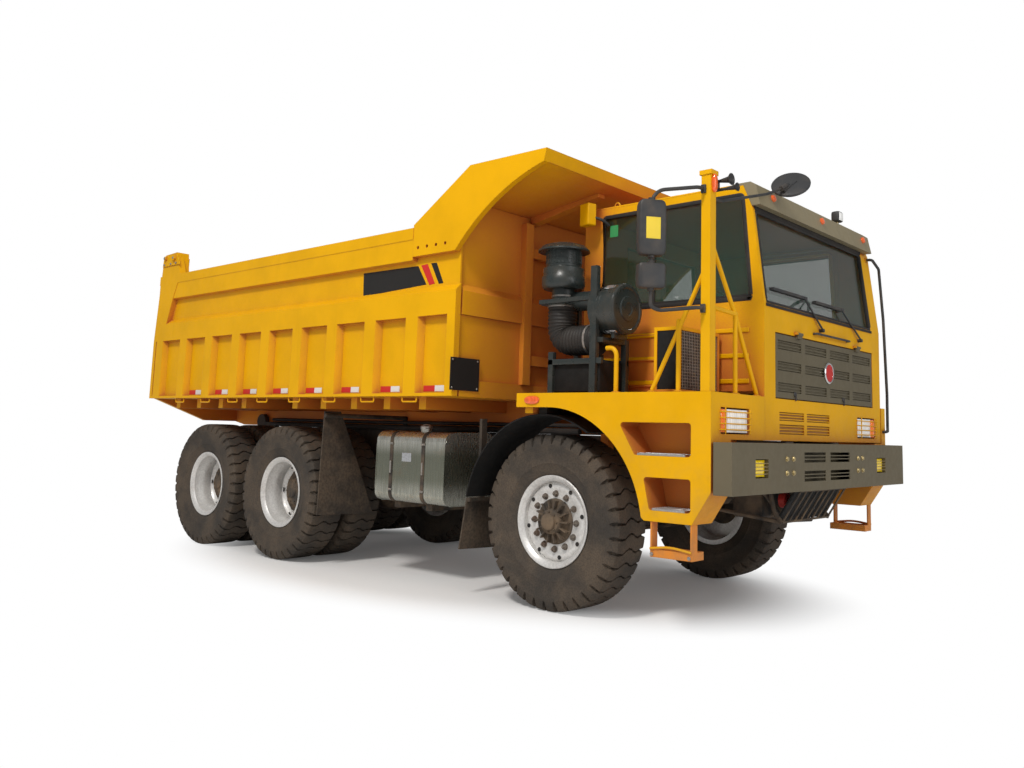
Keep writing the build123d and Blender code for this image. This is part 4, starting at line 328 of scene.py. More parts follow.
class Recipe:
    """A node tree that ends in one Principled shader, with short calls for its nodes."""

    def __init__(self, name):
        self.material = bpy.data.materials.new(name)
        self.material.use_nodes = True
        self.tree = self.material.node_tree
        self.tree.nodes.clear()
        self.shader = self.tree.nodes.new("ShaderNodeBsdfPrincipled")
        self.out = self.tree.nodes.new("ShaderNodeOutputMaterial")
        self.tree.links.new(self.shader.outputs[0], self.out.inputs[0])
        self.place = self.node("ShaderNodeTexCoord").outputs["Object"]

    def node(self, kind, **values):
        """A node of a kind with its own settings."""
        node = self.tree.nodes.new(kind)
        for key, value in values.items():
            setattr(node, key, value)
        return node

    def feed(self, socket, value):
        """Links an output, or sets a plain value."""
        if isinstance(value, bpy.types.NodeSocket):
            self.tree.links.new(value, socket)
        elif isinstance(value, (tuple, list)) and socket.type == "RGBA":
            socket.default_value = (*value[:3], 1.0)
        else:
            socket.default_value = value

    def set(self, **values):
        """Sets the shader's sockets; underscores stand for spaces."""
        for key, value in values.items():
            self.feed(self.shader.inputs[key.replace("_", " ")], value)
        return self

    def stretched(self, factors):
        """Object coordinates times a factor for each axis."""
        node = self.node("ShaderNodeMapping")
        self.feed(node.inputs["Vector"], self.place)
        self.feed(node.inputs["Scale"], factors)
        return node.outputs[0]

    def noise(self, scale, detail=4.0, roughness=0.55, along=None):
        """Clouded noise in Object coordinates, or along the ones given."""
        node = self.node("ShaderNodeTexNoise")
        self.feed(node.inputs["Vector"], self.place if along is None else along)
        node.inputs["Scale"].default_value = scale
        node.inputs["Detail"].default_value = detail
        node.inputs["Roughness"].default_value = roughness
        return node.outputs[0]

    def cells(self, scale, along=None):
        """Distance to the nearest of many scattered points, as a pebble grain."""
        node = self.node("ShaderNodeTexVoronoi")
        self.feed(node.inputs["Vector"], self.place if along is None else along)
        node.inputs["Scale"].default_value = scale
        return node.outputs[0]

    def window(self, value, low, high, out_low=0.0, out_high=1.0):
        """Maps a value from low..high to out_low..out_high, smoothly."""
        node = self.node("ShaderNodeMapRange", interpolation_type="SMOOTHSTEP")
        for key, number in (("Value", value), ("From Min", low), ("From Max", high),
                            ("To Min", out_low), ("To Max", out_high)):
            self.feed(node.inputs[key], number)
        return node.outputs[0]

    def math(self, operation, a, b=0.0):
        """One step of arithmetic on two sockets or numbers."""
        node = self.node("ShaderNodeMath", operation=operation)
        self.feed(node.inputs[0], a)
        self.feed(node.inputs[1], b)
        return node.outputs[0]

    def blend(self, amount, a, b):
        """Colour a where amount is 0 and b where it is 1."""
        node = self.node("ShaderNodeMix", data_type="RGBA")
        self.feed(node.inputs[0], amount)
        self.feed(node.inputs[6], a)
        self.feed(node.inputs[7], b)
        return node.outputs[2]

    def height(self):
        """Object Z, in metres."""
        node = self.node("ShaderNodeSeparateXYZ")
        self.feed(node.inputs[0], self.place)
        return node.outputs[2]

    def facing_up(self):
        """Z of the surface's own normal, for dust that settles on ledges."""
        node = self.node("ShaderNodeSeparateXYZ")
        self.feed(node.inputs[0], self.node("ShaderNodeNewGeometry").outputs["Normal"])
        return node.outputs[2]

    def sheltered(self, distance):
        """1 where the surface stands free, toward 0 where others within distance enclose it."""
        node = self.node("ShaderNodeAmbientOcclusion", samples=4)
        node.inputs["Distance"].default_value = distance
        return node.outputs["AO"]

    def edges(self, radius):
        """Rounded normal, and a mask that is 1 on edges within radius."""
        soft = self.node("ShaderNodeBevel", samples=4)
        soft.inputs["Radius"].default_value = radius
        dot = self.node("ShaderNodeVectorMath", operation="DOT_PRODUCT")
        self.feed(dot.inputs[0], soft.outputs[0])
        self.feed(dot.inputs[1], self.node("ShaderNodeNewGeometry").outputs["Normal"])
        return soft.outputs[0], self.window(dot.outputs["Value"], 0.995, 0.86)

    def bump(self, height, strength, distance=0.002, normal=None):
        """Sends a height to the shader as a bump, over a rounded normal if there is one."""
        node = self.node("ShaderNodeBump")
        self.feed(node.inputs["Height"], height)
        node.inputs["Strength"].default_value = strength
        node.inputs["Distance"].default_value = distance
        if normal is not None:
            self.feed(node.inputs["Normal"], normal)
        self.feed(self.shader.inputs["Normal"], node.outputs[0])
        return self


DUST = (0.235, 0.165, 0.105)
RUST = (0.165, 0.060, 0.022)


def paint(name, colour, roughness=0.36, dust=0.30, dust_top=1.9, coat=0.05, edge=0.35,
          grain=260.0, shine=0.22, wear=(0.33, 0.20, 0.05), painted_shade_colour=None):
    """Enamel: two-tone mottling, dust that thickens toward the ground and on ledges, faint
    vertical runs, chips and dirt along edges, and an orange-peel bump. With a shade colour the
    enamel carries painted shade: it turns toward that colour in recesses and under roofs, and
    toward a darker tone of it in tight creases."""
    r = Recipe(name)
    rounded, edge_mask = r.edges(0.006)
    dark = tuple(c * 0.90 for c in colour)
    base = r.blend(r.window(r.noise(2.3, 5), 0.35, 0.7), colour, dark)
    # Painted shade: toward the shade colour where other surfaces within 1.6 m enclose the point.
    if painted_shade_colour:
        painted_shade_share = r.window(r.sheltered(1.6), 0.74, 0.32, 0.0, 0.92)
        base = r.blend(painted_shade_share, base, painted_shade_colour)
        # Painted shade in tight creases and corners within 0.28 m, darker than the shade colour.
        corners = r.window(r.sheltered(0.28), 0.88, 0.45, 0.0, 0.60)
        base = r.blend(corners, base, tuple(0.75 * c for c in painted_shade_colour))
    runs = r.window(r.noise(9.0, 5, along=r.stretched((1.0, 1.0, 0.09))), 0.60, 0.78, 0.0, 0.16)
    base = r.blend(runs, base, tuple(c * 0.62 for c in colour))
    low = r.window(r.height(), dust_top, 0.35, 0.0, 1.0)
    cover = r.math("MULTIPLY", low, r.window(r.noise(5.5, 8, 0.65), 0.30, 0.72))
    ledge = r.window(r.facing_up(), 0.75, 0.98, 0.0, 0.22)
    cover = r.math("MAXIMUM", r.math("MULTIPLY", cover, dust),
                   r.math("MULTIPLY", ledge, r.noise(14.0, 6)))
    base = r.blend(cover, base, DUST)
    chips = r.math("MULTIPLY", edge_mask, r.window(r.noise(38.0, 7, 0.7), 0.46, 0.60, 0.0, edge))
    base = r.blend(chips, base, wear)
    rough = r.math("ADD", r.window(r.noise(17.0, 6), 0.3, 0.7, roughness - 0.05, roughness + 0.09),
                   r.math("MULTIPLY", cover, 0.5))
    r.set(Base_Color=base, Roughness=rough, Specular_IOR_Level=shine,
          Coat_Weight=coat, Coat_Roughness=0.16)
    return r.bump(r.noise(grain, 3), 0.10, 0.0006, rounded).material


def metal(name, colour, roughness=0.32, dirt=0.35, metallic=1.0, brushed=None, dirt_colour=RUST):
    """Bare or plated metal: brush lines along one axis, smudges and dirt in patches."""
    r = Recipe(name)
    rounded, _ = r.edges(0.003)
    lines = r.noise(55.0, 4, along=r.stretched(brushed or (1, 1, 1)))
    patches = r.window(r.noise(4.5, 8, 0.62), 0.45, 0.72, 0.0, dirt)
    base = r.blend(r.window(lines, 0.3, 0.7), colour, tuple(c * 0.82 for c in colour))
    base = r.blend(patches, base, dirt_colour)
    rough = r.math("ADD", r.window(lines, 0.3, 0.7, roughness, roughness + 0.12), patches)
    r.set(Base_Color=base, Roughness=rough, Metallic=metallic)
    return r.bump(lines, 0.08, 0.0005, rounded).material


def sheet(name, dark, reflection_colour, top, bottom):
    """Polished sheet with upright brush lines and a painted reflection: lighter toward its rounded top
    and bottom.
    """
    r = Recipe(name)
    rounded, _ = r.edges(0.004)
    lines = r.noise(70.0, 4, along=r.stretched((1.0, 1.0, 0.08)))
    # Painted reflection: lighter between the heights in top, and half as much between those in bottom.
    painted_reflection = r.math("MAXIMUM", r.window(r.height(), *top, 0.0, 1.0),
                    r.window(r.height(), *bottom, 0.0, 0.5))
    base = r.blend(painted_reflection, dark, reflection_colour)
    base = r.blend(r.window(lines, 0.35, 0.65, 0.0, 0.35), base, tuple(c * 0.7 for c in dark))
    dirt = r.window(r.noise(5.0, 8, 0.65), 0.55, 0.75, 0.0, 0.4)
    base = r.blend(dirt, base, DUST)
    rough = r.math("ADD", r.window(lines, 0.3, 0.7, 0.18, 0.30), dirt)
    r.set(Base_Color=base, Roughness=rough, Metallic=0.8)
    return r.bump(lines, 0.06, 0.0004, rounded).material


def rubber(name, colour, dust=0.55, grain=90.0, roughness=0.78):
    """Dusty rubber: dust lies in broad clouds and in the grain."""
    r = Recipe(name)
    clouds = r.window(r.noise(3.2, 7, 0.62), 0.32, 0.68, 0.15 * dust, dust)
    base = r.blend(clouds, colour, DUST)
    base = r.blend(r.window(r.noise(grain, 5), 0.42, 0.62, 0.0, 0.35), base,
                   tuple(c * 0.5 for c in colour))
    r.set(Base_Color=base, Roughness=roughness, Specular_IOR_Level=0.32)
    return r.bump(r.noise(grain * 2.2, 4), 0.22, 0.001).material


def moulded(name, colour, roughness=0.5, dust=0.18, grain=520.0):
    """Moulded plastic: fine pebble grain with a little dust."""
    r = Recipe(name)
    rounded, _ = r.edges(0.003)
    base = r.blend(r.window(r.noise(7.0, 6), 0.4, 0.75, 0.0, dust), colour, DUST)
    rough = r.window(r.noise(12.0, 4), 0.3, 0.7, roughness - 0.06, roughness + 0.10)
    r.set(Base_Color=base, Roughness=rough)
    return r.bump(r.cells(grain), 0.12, 0.0006, rounded).material


def pane(name, colour, alpha=0.42):
    """Tinted glass: dark where looked through, with a sharp reflection and faint smears."""
    r = Recipe(name)
    smear = r.window(r.noise(6.0, 6, along=r.stretched((1, 1, 0.3))), 0.4, 0.8, 0.03, 0.16)
    base = r.blend(r.window(r.height(), 2.4, 3.1), colour, tuple(c * 0.6 for c in colour))
    r.set(Base_Color=base, Roughness=smear, Alpha=alpha, IOR=1.52, Specular_IOR_Level=0.85)
    r.set(Coat_Weight=1.0, Coat_Roughness=0.02)
    return r.material


def lens(name, colour, glow=0.0):
    """Clear or coloured lamp lens with fine upright prisms."""
    r = Recipe(name)
    flutes = r.noise(1.0, 1, along=r.stretched((30.0, 220.0, 8.0)))
    base = r.blend(r.window(flutes, 0.35, 0.65), colour, tuple(c * 0.72 for c in colour))
    r.set(Base_Color=base, Roughness=0.12, Coat_Weight=1.0, Coat_Roughness=0.03, IOR=1.49)
    if glow:
        r.set(Emission_Color=(*colour, 1.0), Emission_Strength=glow)
    return r.bump(flutes, 0.25, 0.001).material


def cloth(name, colour):
    """Woven seat fabric with a fine twill and soft sheen."""
    r = Recipe(name)
    weave = r.cells(900.0, r.stretched((1.0, 1.0, 0.6)))
    base = r.blend(r.window(weave, 0.2, 0.7), colour, tuple(c * 0.55 for c in colour))
    base = r.blend(r.window(r.noise(9.0, 6), 0.5, 0.8, 0.0, 0.25), base, DUST)
    r.set(Base_Color=base, Roughness=0.85, Sheen_Weight=0.3)
    return r.bump(weave, 0.35, 0.0012).material


def finishes(settings):
    """Makes every finish once, from the chosen colours."""
    yellow = tuple(settings.yellow)
    olive = tuple(settings.olive)
    black = (0.018, 0.018, 0.019)
    FINISHES.update(
        # Painted shade: the yellow turns red-brown in recesses and under roofs, and darker in creases.
        yellow=paint("yellow_enamel", yellow, coat=0.0, shine=0.12, painted_shade_colour=(0.62, 0.175, 0.040)),
        rail=paint("rail_enamel", yellow, coat=0.0, shine=0.2, dust=0.15),
        # Painted light: the visor is the olive enamel made 1.85 times lighter.
        visor=paint("visor_enamel_painted_light", tuple(1.85 * c for c in olive), roughness=0.5,
                    coat=0.0, dust=0.1, shine=0.5, wear=(0.30, 0.27, 0.20)),
        steps=paint("step_enamel", (0.80, 0.27, 0.03), dust=0.55),
        olive=paint("olive_enamel", olive, roughness=0.55, coat=0.0, dust=0.10, grain=700.0,
                    shine=0.45, wear=(0.30, 0.27, 0.20)),
        frame=paint("frame_enamel", (0.030, 0.030, 0.031), roughness=0.6, coat=0.0, dust=0.75,
                    dust_top=2.2, wear=(0.10, 0.08, 0.06)),
        cast=paint("cast_enamel", (0.045, 0.043, 0.041), roughness=0.68, coat=0.0, dust=0.85,
                   dust_top=2.4, grain=140.0, wear=(0.12, 0.09, 0.06)),
        rim=metal("rim_silver", (0.80, 0.79, 0.77), 0.36, 0.22, metallic=0.45,
                  dirt_colour=(0.20, 0.15, 0.11)),
        # Painted reflection: the light colour lies on the tank's top and bottom heights.
        tank=sheet("tank_sheet", (0.22, 0.23, 0.18), (0.66, 0.66, 0.60), (1.10, 1.27), (0.92, 0.78)),
        steel=metal("plated_steel", (0.52, 0.50, 0.47), 0.36, 0.45),
        chrome=metal("chrome_rod", (0.80, 0.80, 0.81), 0.08, 0.04),
        tyre=rubber("tyre_rubber", (0.040, 0.036, 0.032), dust=0.34),
        flap=rubber("flap_rubber", (0.022, 0.021, 0.020), dust=0.42, grain=45.0),
        seal=rubber("seal_rubber", black, dust=0.10, roughness=0.6),
        liner=moulded("arch_liner", (0.001, 0.001, 0.001), 0.8, 0.02),
        tread=metal("tread_plate", (0.60, 0.60, 0.59), 0.34, 0.22, brushed=(1.0, 0.2, 1.0)),
        plastic=moulded("dark_plastic", (0.030, 0.031, 0.033)),
        inside=moulded("cab_plastic", (0.075, 0.078, 0.080), 0.6, 0.1),
        glass=pane("tinted_glass", (0.022, 0.072, 0.044)),
        mirror=metal("mirror_face", (0.85, 0.86, 0.88), 0.03, 0.02),
        clear=lens("clear_lens", (0.90, 0.90, 0.88), 0.22),
        amber=lens("amber_lens", (0.95, 0.22, 0.01), 0.22),
        yellow_lens=lens("yellow_lens", (0.95, 0.66, 0.01), 0.25),
        red=lens("red_lens", (0.88, 0.13, 0.02), 0.12),
        white=paint("white_tape", (0.78, 0.78, 0.76), dust=0.2, edge=0.1),
        red_tape=paint("red_tape", (0.62, 0.03, 0.025), dust=0.2, edge=0.1),
        black_tape=paint("black_tape", (0.022, 0.021, 0.020), dust=0.1, edge=0.1),
        green_tape=paint("green_tape", (0.05, 0.30, 0.10), dust=0.1, edge=0.1),
        yellow_tape=paint("yellow_tape", (0.85, 0.62, 0.05), dust=0.1, edge=0.1),
        recess=paint("vent_shade", (0.42, 0.17, 0.02), dust=0.4, edge=0.1),
        nut=metal("wheel_nut", (0.22, 0.19, 0.16), 0.5, 0.5, metallic=0.6),
        brass=metal("brass_bolt", (0.62, 0.50, 0.26), 0.30, 0.25),
        intake=moulded("intake_plastic", (0.024, 0.031, 0.030), 0.30, 0.10),
        cloth=cloth("seat_cloth", (0.055, 0.058, 0.065)),
        foam=moulded("dash_foam", (0.040, 0.042, 0.045), 0.7, 0.15),
    )


NODE_FINISH = {
    "frame_rails": "frame", "bumper": "olive", "bar_guard": "cast", "lamps": "clear",
    "engine_block": "cast", "front_axle": "cast", "springs": "frame", "driven_axles": "cast",
    "propshafts": "cast", "fuel_tank": "tank", "tank_straps": "frame", "side_stores": "frame",
    "mud_flaps": "flap", "fender_liners": "liner", "step_treads": "tread", "horns": "plastic",
    "wipers": "plastic", "walkway_right": "yellow", "skirt_left": "yellow",
    "hanging_steps": "steps", "walkway_rails": "rail",
    "mirrors_right": "plastic", "mirror_left": "plastic", "air_intake": "intake",
    "air_filter": "plastic", "cooler_box": "yellow", "cab_shell": "yellow", "cab_glass": "glass",
    "visor": "visor", "cab_handrail": "plastic", "driver_seat": "cloth", "dashboard": "inside",
    "body_floor": "yellow", "body_sides": "yellow", "body_front_wall": "yellow",
    "body_canopy": "yellow", "tailgate": "yellow", "hoist_barrels": "frame", "hoist_rods": "chrome",
    "knuckle_right": "cast", "knuckle_left": "cast", "door_panel": "yellow", "door_glass": "glass",
    "grille_flap": "olive",
}


def dress_nodes():
    """Gives each CAD node its finish."""
    for node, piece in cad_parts.items():
        finish = NODE_FINISH.get(node, "rim" if node.startswith("wheel") else "tyre")
        piece.data.materials.clear()
        piece.data.materials.append(FINISHES[finish])


# Wheels

WHEEL_FINISHES = ("rim", "nut", "cast", "seal")
RIM, NUT, CAST, SEAL = range(4)
NUT_CIRCLE = 0.2125
NUT_COUNT = 12


def tyre_shell(centre, settings):
    """Tyre as a function of the angle round it and the place across it. Across, (radius, y)
    follows the half profile from bead over the shoulder to the middle and back. The angle of
    each grid line is shifted by a zigzag of y, so lines run along the lateral grooves, and the
    radius drops by the groove's depth between its two walls. On the shoulder the groove is cut
    sideways too, widens to a notch and then fades out."""
    half = np.array([
        # radius, y, groove depth, groove half width
        (0.352, 0.128, 0, 0.006), (0.366, 0.141, 0, 0.006), (0.390, 0.150, 0, 0.006),
        (0.440, 0.166, 0, 0.006), (0.448, 0.171, 0, 0.006), (0.456, 0.170, 0, 0.006),
        (0.520, 0.183, 0, 0.006), (0.575, 0.188, 0, 0.006), (0.583, 0.192, 0, 0.006),
        (0.592, 0.192, 0.0, 0.004), (0.606, 0.190, 0.012, 0.010), (0.630, 0.184, 0.026, 0.017),
        (0.655, 0.174, 0.030, 0.019), (0.668, 0.164, 0.030, 0.017), (0.6725, 0.150, 0.028, 0.012),
        (0.674, 0.118, 0.026, 0.009), (0.6745, 0.092, 0.026, 0.008), (0.675, 0.070, 0.026, 0.008),
        (0.675, 0.030, 0.026, 0.008), (0.675, 0.008, 0.026, 0.008),
    ])
    across = np.concatenate([half * (1, -1, 1, 1), half[::-1]])
    radius, y, depth, width = across.T
    count = settings.lug_count
    pitch = 2 * math.pi / count
    zig = settings.zigzag * np.interp(y, (-0.15, -0.085, -0.05, 0.02, 0.05, 0.085, 0.15),
                                      (0.35, 0.35, -0.35, -0.15, 0.55, 0.05, 0.05))
    steps = np.array([-1.0, -0.62, 0.62, 1.0])  # top, foot, foot and top of the groove's walls
    inner = steps[None, :] * (width / radius)[:, None]
    land = np.array([0.30, 0.5, 0.70]) * pitch
    local = np.concatenate([inner, np.repeat(land[None], len(y), 0)], 1)
    drop = np.concatenate([np.repeat([[0, 1, 1, 0]], len(y), 0) * depth[:, None],
                           np.zeros((len(y), 3))], 1)
    angle = (local[:, None, :] + (np.arange(count) * pitch)[None, :, None]
             + (zig * pitch)[:, None, None]).reshape(len(y), -1)
    drop = np.repeat(drop[:, None, :], count, 1).reshape(len(y), -1)
    shoulder_top, shoulder_run = 0.672, 0.03
    side = np.clip((shoulder_top - radius) / shoulder_run, 0, 1)[:, None]
    less_inward, more_sideways = 0.55, 0.75
    r = radius[:, None] - drop * (1 - less_inward * side)
    yy = y[:, None] - np.sign(y)[:, None] * drop * more_sideways * side
    points = np.stack([centre[0] + r * np.sin(angle), centre[1] + yy + 0 * r,
                       centre[2] + r * np.cos(angle)], -1)
    rows, cols = points.shape[:2]
    bead = np.array([(0.330, 0.122), (0.322, 0.100), (0.322, -0.100), (0.330, -0.122)])[::-1]
    t = angle[0]
    inside = np.stack([centre[0] + bead[:, :1] * np.sin(t), centre[1] + bead[:, 1:] + 0 * t,
                       centre[2] + bead[:, :1] * np.cos(t)], -1)
    points = np.concatenate([points, inside[::-1]])
    return Shell(points, grid_quads(rows + 4, cols, closed_rows=True))


def wheel_nuts(centre, outward, at):
    """A ring of wheel nuts with their stud ends, standing at metres outward of the centre."""
    axis = np.array([0, outward, 0])
    places = ring_places(centre + axis * at, NUT_CIRCLE, NUT_COUNT, axis)
    stud = lathe([(0.009, 0), (0.009, 0.040), (0.006, 0.043)], 8, (0, 0, 0), axis, finish=NUT)
    return bolts(places, 0.0200, 0.030, axis, finish=NUT) + [repeated(stud, places)]


def rim_well(waist, slope):
    """Closed section of a rim as (radius, place across): flanges, bead seats and the well,
    whose inner end is at waist and rises to the bead seat at slope."""
    return [(0.350, 0.150), (0.356, 0.146), (0.356, 0.138), (0.340, 0.134), (0.322, 0.126),
            (0.318, 0.060), (0.300, 0.030), (0.300, waist), (0.318, slope), (0.322, -0.126),
            (0.340, -0.134), (0.356, -0.138), (0.356, -0.146), (0.350, -0.150),
            (0.312, -0.146), (0.304, slope - 0.002), (0.288, waist), (0.288, 0.030),
            (0.304, 0.060), (0.308, 0.118), (0.330, 0.143)]


def front_wheel_shells(centre, outward):
    """Rim well, crowned disc with hand holes, ring of nuts and finned hub with its cap."""
    axis = np.array([0, outward, 0])
    disc = [(0.306, 0.082), (0.300, 0.090), (0.285, 0.100), (0.262, 0.104), (0.246, 0.098),
            (0.170, 0.094), (0.170, 0.078), (0.246, 0.082), (0.290, 0.080), (0.304, 0.070)]
    shells = [lathe(rim_well(-0.040, -0.080), 72, centre, axis, RIM, closed=True),
              lathe(disc, 72, centre, axis, RIM, closed=True)]
    hole = lathe([(0.017, 0), (0.017, 0.003)], 14, (0, 0, 0), axis, finish=SEAL)
    places = ring_places(centre + axis * 0.1035, 0.2745, 8, axis, 0.2)
    shells.append(repeated(hole, places))
    shells += wheel_nuts(centre, outward, 0.094)
    hub = [(0.176, 0.080), (0.176, 0.104), (0.168, 0.112), (0.100, 0.122), (0.094, 0.165),
           (0.088, 0.172), (0.066, 0.176), (0.062, 0.196), (0.050, 0.202)]
    shells.append(lathe(hub, 48, centre, axis, finish=CAST))
    fin = carried([(0.094, 0, 0), (0.165, 0, 0)],
                  rounded_rectangle(0.010, 0.052, 0.003), (0, 1, 0), finish=CAST)
    a, b, n = frame_of(axis)
    fins = 14
    for k in range(fins):
        t = k * 2 * math.pi / fins
        radial = math.cos(t) * a + math.sin(t) * b
        side = np.cross(n, radial)
        turn = np.stack([radial, n, side], 1)
        shells.append(Shell(fin.points @ turn.T + centre + n * 0.130, fin.quads, fin.polygons, CAST))
    shells += bolts(ring_places(centre + axis * 0.176, 0.077, 8, axis), 0.006, 0.008, axis, finish=CAST)
    return shells


def twin_wheel_shells(centre_y, axle, outward):
    """Two deep-dish wheels back to back with nuts and the planetary hub end."""
    shells = []
    for place, facing in ((TWIN_HALF, 1), (-TWIN_HALF, -1)):
        centre = np.array([axle[0], centre_y + outward * place, axle[2]])
        axis = np.array([0, outward * facing, 0])
        disc = [(0.306, -0.040), (0.296, -0.070), (0.275, -0.100), (0.250, -0.112), (0.246, -0.118),
                (0.160, -0.118), (0.160, -0.134), (0.250, -0.134), (0.290, -0.112), (0.306, -0.070)]
        shells += [lathe(rim_well(-0.060, -0.090), 64, centre, axis, RIM, closed=True),
                   lathe(disc, 64, centre, axis, RIM, closed=True)]
        if facing > 0:
            shells += wheel_nuts(centre, outward, -0.118)
            hub = [(0.176, -0.130), (0.176, -0.096), (0.168, -0.088), (0.140, -0.080),
                   (0.136, -0.030), (0.128, -0.020), (0.060, -0.012), (0.056, 0.000), (0.040, 0.004)]
            shells.append(lathe(hub, 48, centre, axis, finish=CAST))
            shells += bolts(ring_places(centre - axis * 0.018, 0.105, 10, axis), 0.008,
                            0.010, axis, finish=CAST)
            slot = lathe([(0.022, 0), (0.022, 0.002)], 14, (0, 0, 0), axis, finish=SEAL)
            shells.append(repeated(slot, ring_places(centre - axis * 0.083, 0.283, 6, axis)))
    drum = lathe([(0.205, -0.16), (0.215, -0.15), (0.215, 0.15), (0.205, 0.16)], 40,
                 (axle[0], centre_y, axle[2]), Y * outward, finish=CAST)
    return shells + [drum]


def make_wheels(settings):
    """All tyres and wheels, each riding on its own wheel body."""
    for name, outward in (("right", -1), ("left", 1)):
        centre = np.array([AXLE1[0], outward * FRONT_TYRE_Y, AXLE1[2]])
        body = f"wheel_front_{name}"
        build(f"tread_front_{name}", [tyre_shell(centre, settings)], "tyre", body,
              [f"tyre_front_{name}"], 28)
        build(f"rim_front_{name}", front_wheel_shells(centre, outward),
              WHEEL_FINISHES, body,
              [f"wheel_front_{name}"])
        for place, axle in (("mid", AXLE2), ("rear", AXLE3)):
            body = f"twins_{place}_{name}"
            shells = [tyre_shell(np.array([axle[0], outward * (TWIN_Y + off), axle[2]]), settings)
                      for off in (-TWIN_HALF, TWIN_HALF)]
            build(f"tread_{place}_{name}", shells, "tyre", body,
                  [f"tyres_{place}_{name}"], 28)
            build(f"rims_{place}_{name}", twin_wheel_shells(outward * TWIN_Y, axle, outward),
                  WHEEL_FINISHES,
                  body, [f"wheels_{place}_{name}"])


# Body trim

BADGE_BACK = [(0.066, 2.812), (0.851, 2.804), (0.970, 2.626), (0.077, 2.589)]
BADGE_BANDS = (
    # finish, outline in x and z
    (0, [(0.891, 2.805), (0.977, 2.809), (1.081, 2.625), (1.010, 2.618)]),
    (1, [(1.023, 2.811), (1.095, 2.810), (1.191, 2.620), (1.134, 2.618)]),
)
SIDE_WALL = 1.56
RIB_AT = 0.784 - 0.588 * np.arange(8)
STRIP = {"red": (0.210, 0.355), "white": (0.355, 0.478), "z": (1.682, 1.734)}


def on_both_sides(shells):
    """The shells and their mirror images."""
    return shells + [s.mirrored() for s in shells]


def frame_strip(corners, width, thick, out):
    """Band round a closed outline: a rounded rectangle carried along it, with the band's flat
    side square to out."""
    path = rounded_path(np.concatenate([corners, corners[:2]]), 0.03)[1:]
    return carried(path, rounded_rectangle(width, thick, min(width, thick) * 0.4), out)


def make_body_markings():
    """Blank badge, bands and reflective strips on both side walls of the dump body."""
    shells = [plate(BADGE_BACK, -SIDE_WALL - 0.0015, -SIDE_WALL, 1, finish=1)]
    shells += [plate(outline, -SIDE_WALL - 0.0015, -SIDE_WALL, 1, finish=finish)
               for finish, outline in BADGE_BANDS]
    low, high = STRIP["z"]
    for key, finish in (("red", 0), ("white", 2)):
        x0, x1 = STRIP[key]
        strip = plate([(x0, low), (x1, low), (x1, high), (x0, high)], -SIDE_WALL - 0.0012,
                      -SIDE_WALL, 1, finish=finish)
        shells.append(repeated(strip, [(x, 0, 0) for x in RIB_AT]))
    tapes = ("red_tape", "black_tape", "white")
    build("body_markings", on_both_sides(shells), tapes, "dump_body")


def make_blank_plate():
    """Plain black plate with its four bolts on the dump body's front wall."""
    board = [bar((1.421, -1.655, 1.690), (1.427, -1.315, 1.965), 0.002, axis=0)]
    board += bolts([(1.427, y, z) for y in (-1.63, -1.34) for z in (1.71, 1.945)],
                   0.007, 0.006, X, finish=1)
    build("blank_plate", board, ("black_tape", "steel"), "dump_body")


def make_welds():
    """Weld beads along the side walls' belt and top band and down both edges of each rib."""
    proud = SIDE_WALL + 0.0005
    weld = tube([(-3.95, -proud, 1.672), (1.40, -proud, 1.672)], 0.006, sides=6)
    belt_to_band = 0.660
    seams = [weld, weld.moved((0, 0, belt_to_band))]
    for x in RIB_AT:
        for edge in (-0.031, 0.191):
            seams.append(tube([(x + edge, -1.561, 1.675), (x + edge, -1.561, 2.33)], 0.005, sides=6))
    build("weld_seams", on_both_sides(seams), "yellow", "dump_body")


def make_post_bolts():
    """Bolts and round bosses on the tail posts' lug plates."""
    places = [(x, 1.631, 3.285) for x in (-3.86, -3.70, -3.57)]
    bosses = [lathe([(0.016, 0), (0.016, 0.006), (0.011, 0.010)], 14, (x, 1.652, z), Y)
              for x, z in ((-3.826, 3.362), (-3.610, 3.350))]
    build("post_bolts", on_both_sides(bolts(places, 0.011, 0.012, Y) + bosses), "steel",
          "dump_body")


# Cab trim

CAB_FRONT, CAB_REAR, CAB_RIGHT, CAB_LEFT = 3.84, 2.15, -0.80, 1.46
SCREEN_FOOT = 2.35
SCREEN_LEAN = 0.092 / 0.725


def screen_point(y, z, out=0.0):
    """Point on the windscreen's leaning plane, out metres proud of it."""
    return (CAB_FRONT - (z - SCREEN_FOOT) * SCREEN_LEAN + out, y, z)


def make_window_seals():
    """Rubber gaskets round the windscreen, the right and rear panes and the middle pillar."""
    seal = []
    low, high, left, right = 2.358, 3.066, 1.257, -0.760
    corners = [screen_point(y, z, -0.010) for y, z in ((right, low), (left, low),
                                                       (left, high), (right, high))]
    seal.append(frame_strip(corners, 0.020, 0.036, Z))
    x0, x1, z0, z1 = 2.350, 3.735, 2.390, 3.190
    y, lean = CAB_RIGHT + 0.004, 0.07
    side = [(x0, y, z0), (x1, y, z0), (x1 - lean, y, z1), (x0, y, z1)]
    seal.append(frame_strip(side, 0.018, 0.034, Z))
    pillar = (2.86, CAB_RIGHT + 0.008)
    seal.append(tube([(*pillar, z0), (*pillar, z1)], 0.010))
    rear = [(CAB_REAR - 0.001, y, z) for y, z in ((-0.25, 2.50), (0.95, 2.50),
                                                  (0.95, 3.05), (-0.25, 3.05))]
    seal.append(frame_strip(rear, 0.024, 0.014, Z))
    for z0, z1 in ((3.066, 3.098), (2.330, 2.352)):
        low, high = screen_point(-0.775, z0, 0.003), screen_point(1.272, z1, 0.006)
        back, ahead = min(low[0], high[0]) - 0.004, max(low[0], high[0]) + 0.002
        seal.append(bar((back, low[1], z0), (ahead, high[1], z1), axis=1))
    seal.append(bar((2.352, CAB_RIGHT + 0.006, 2.392),
                    (3.735, CAB_RIGHT + 0.0135, 2.425), 0.0008, axis=1))
    build("window_seals", seal, "seal", ROOT)


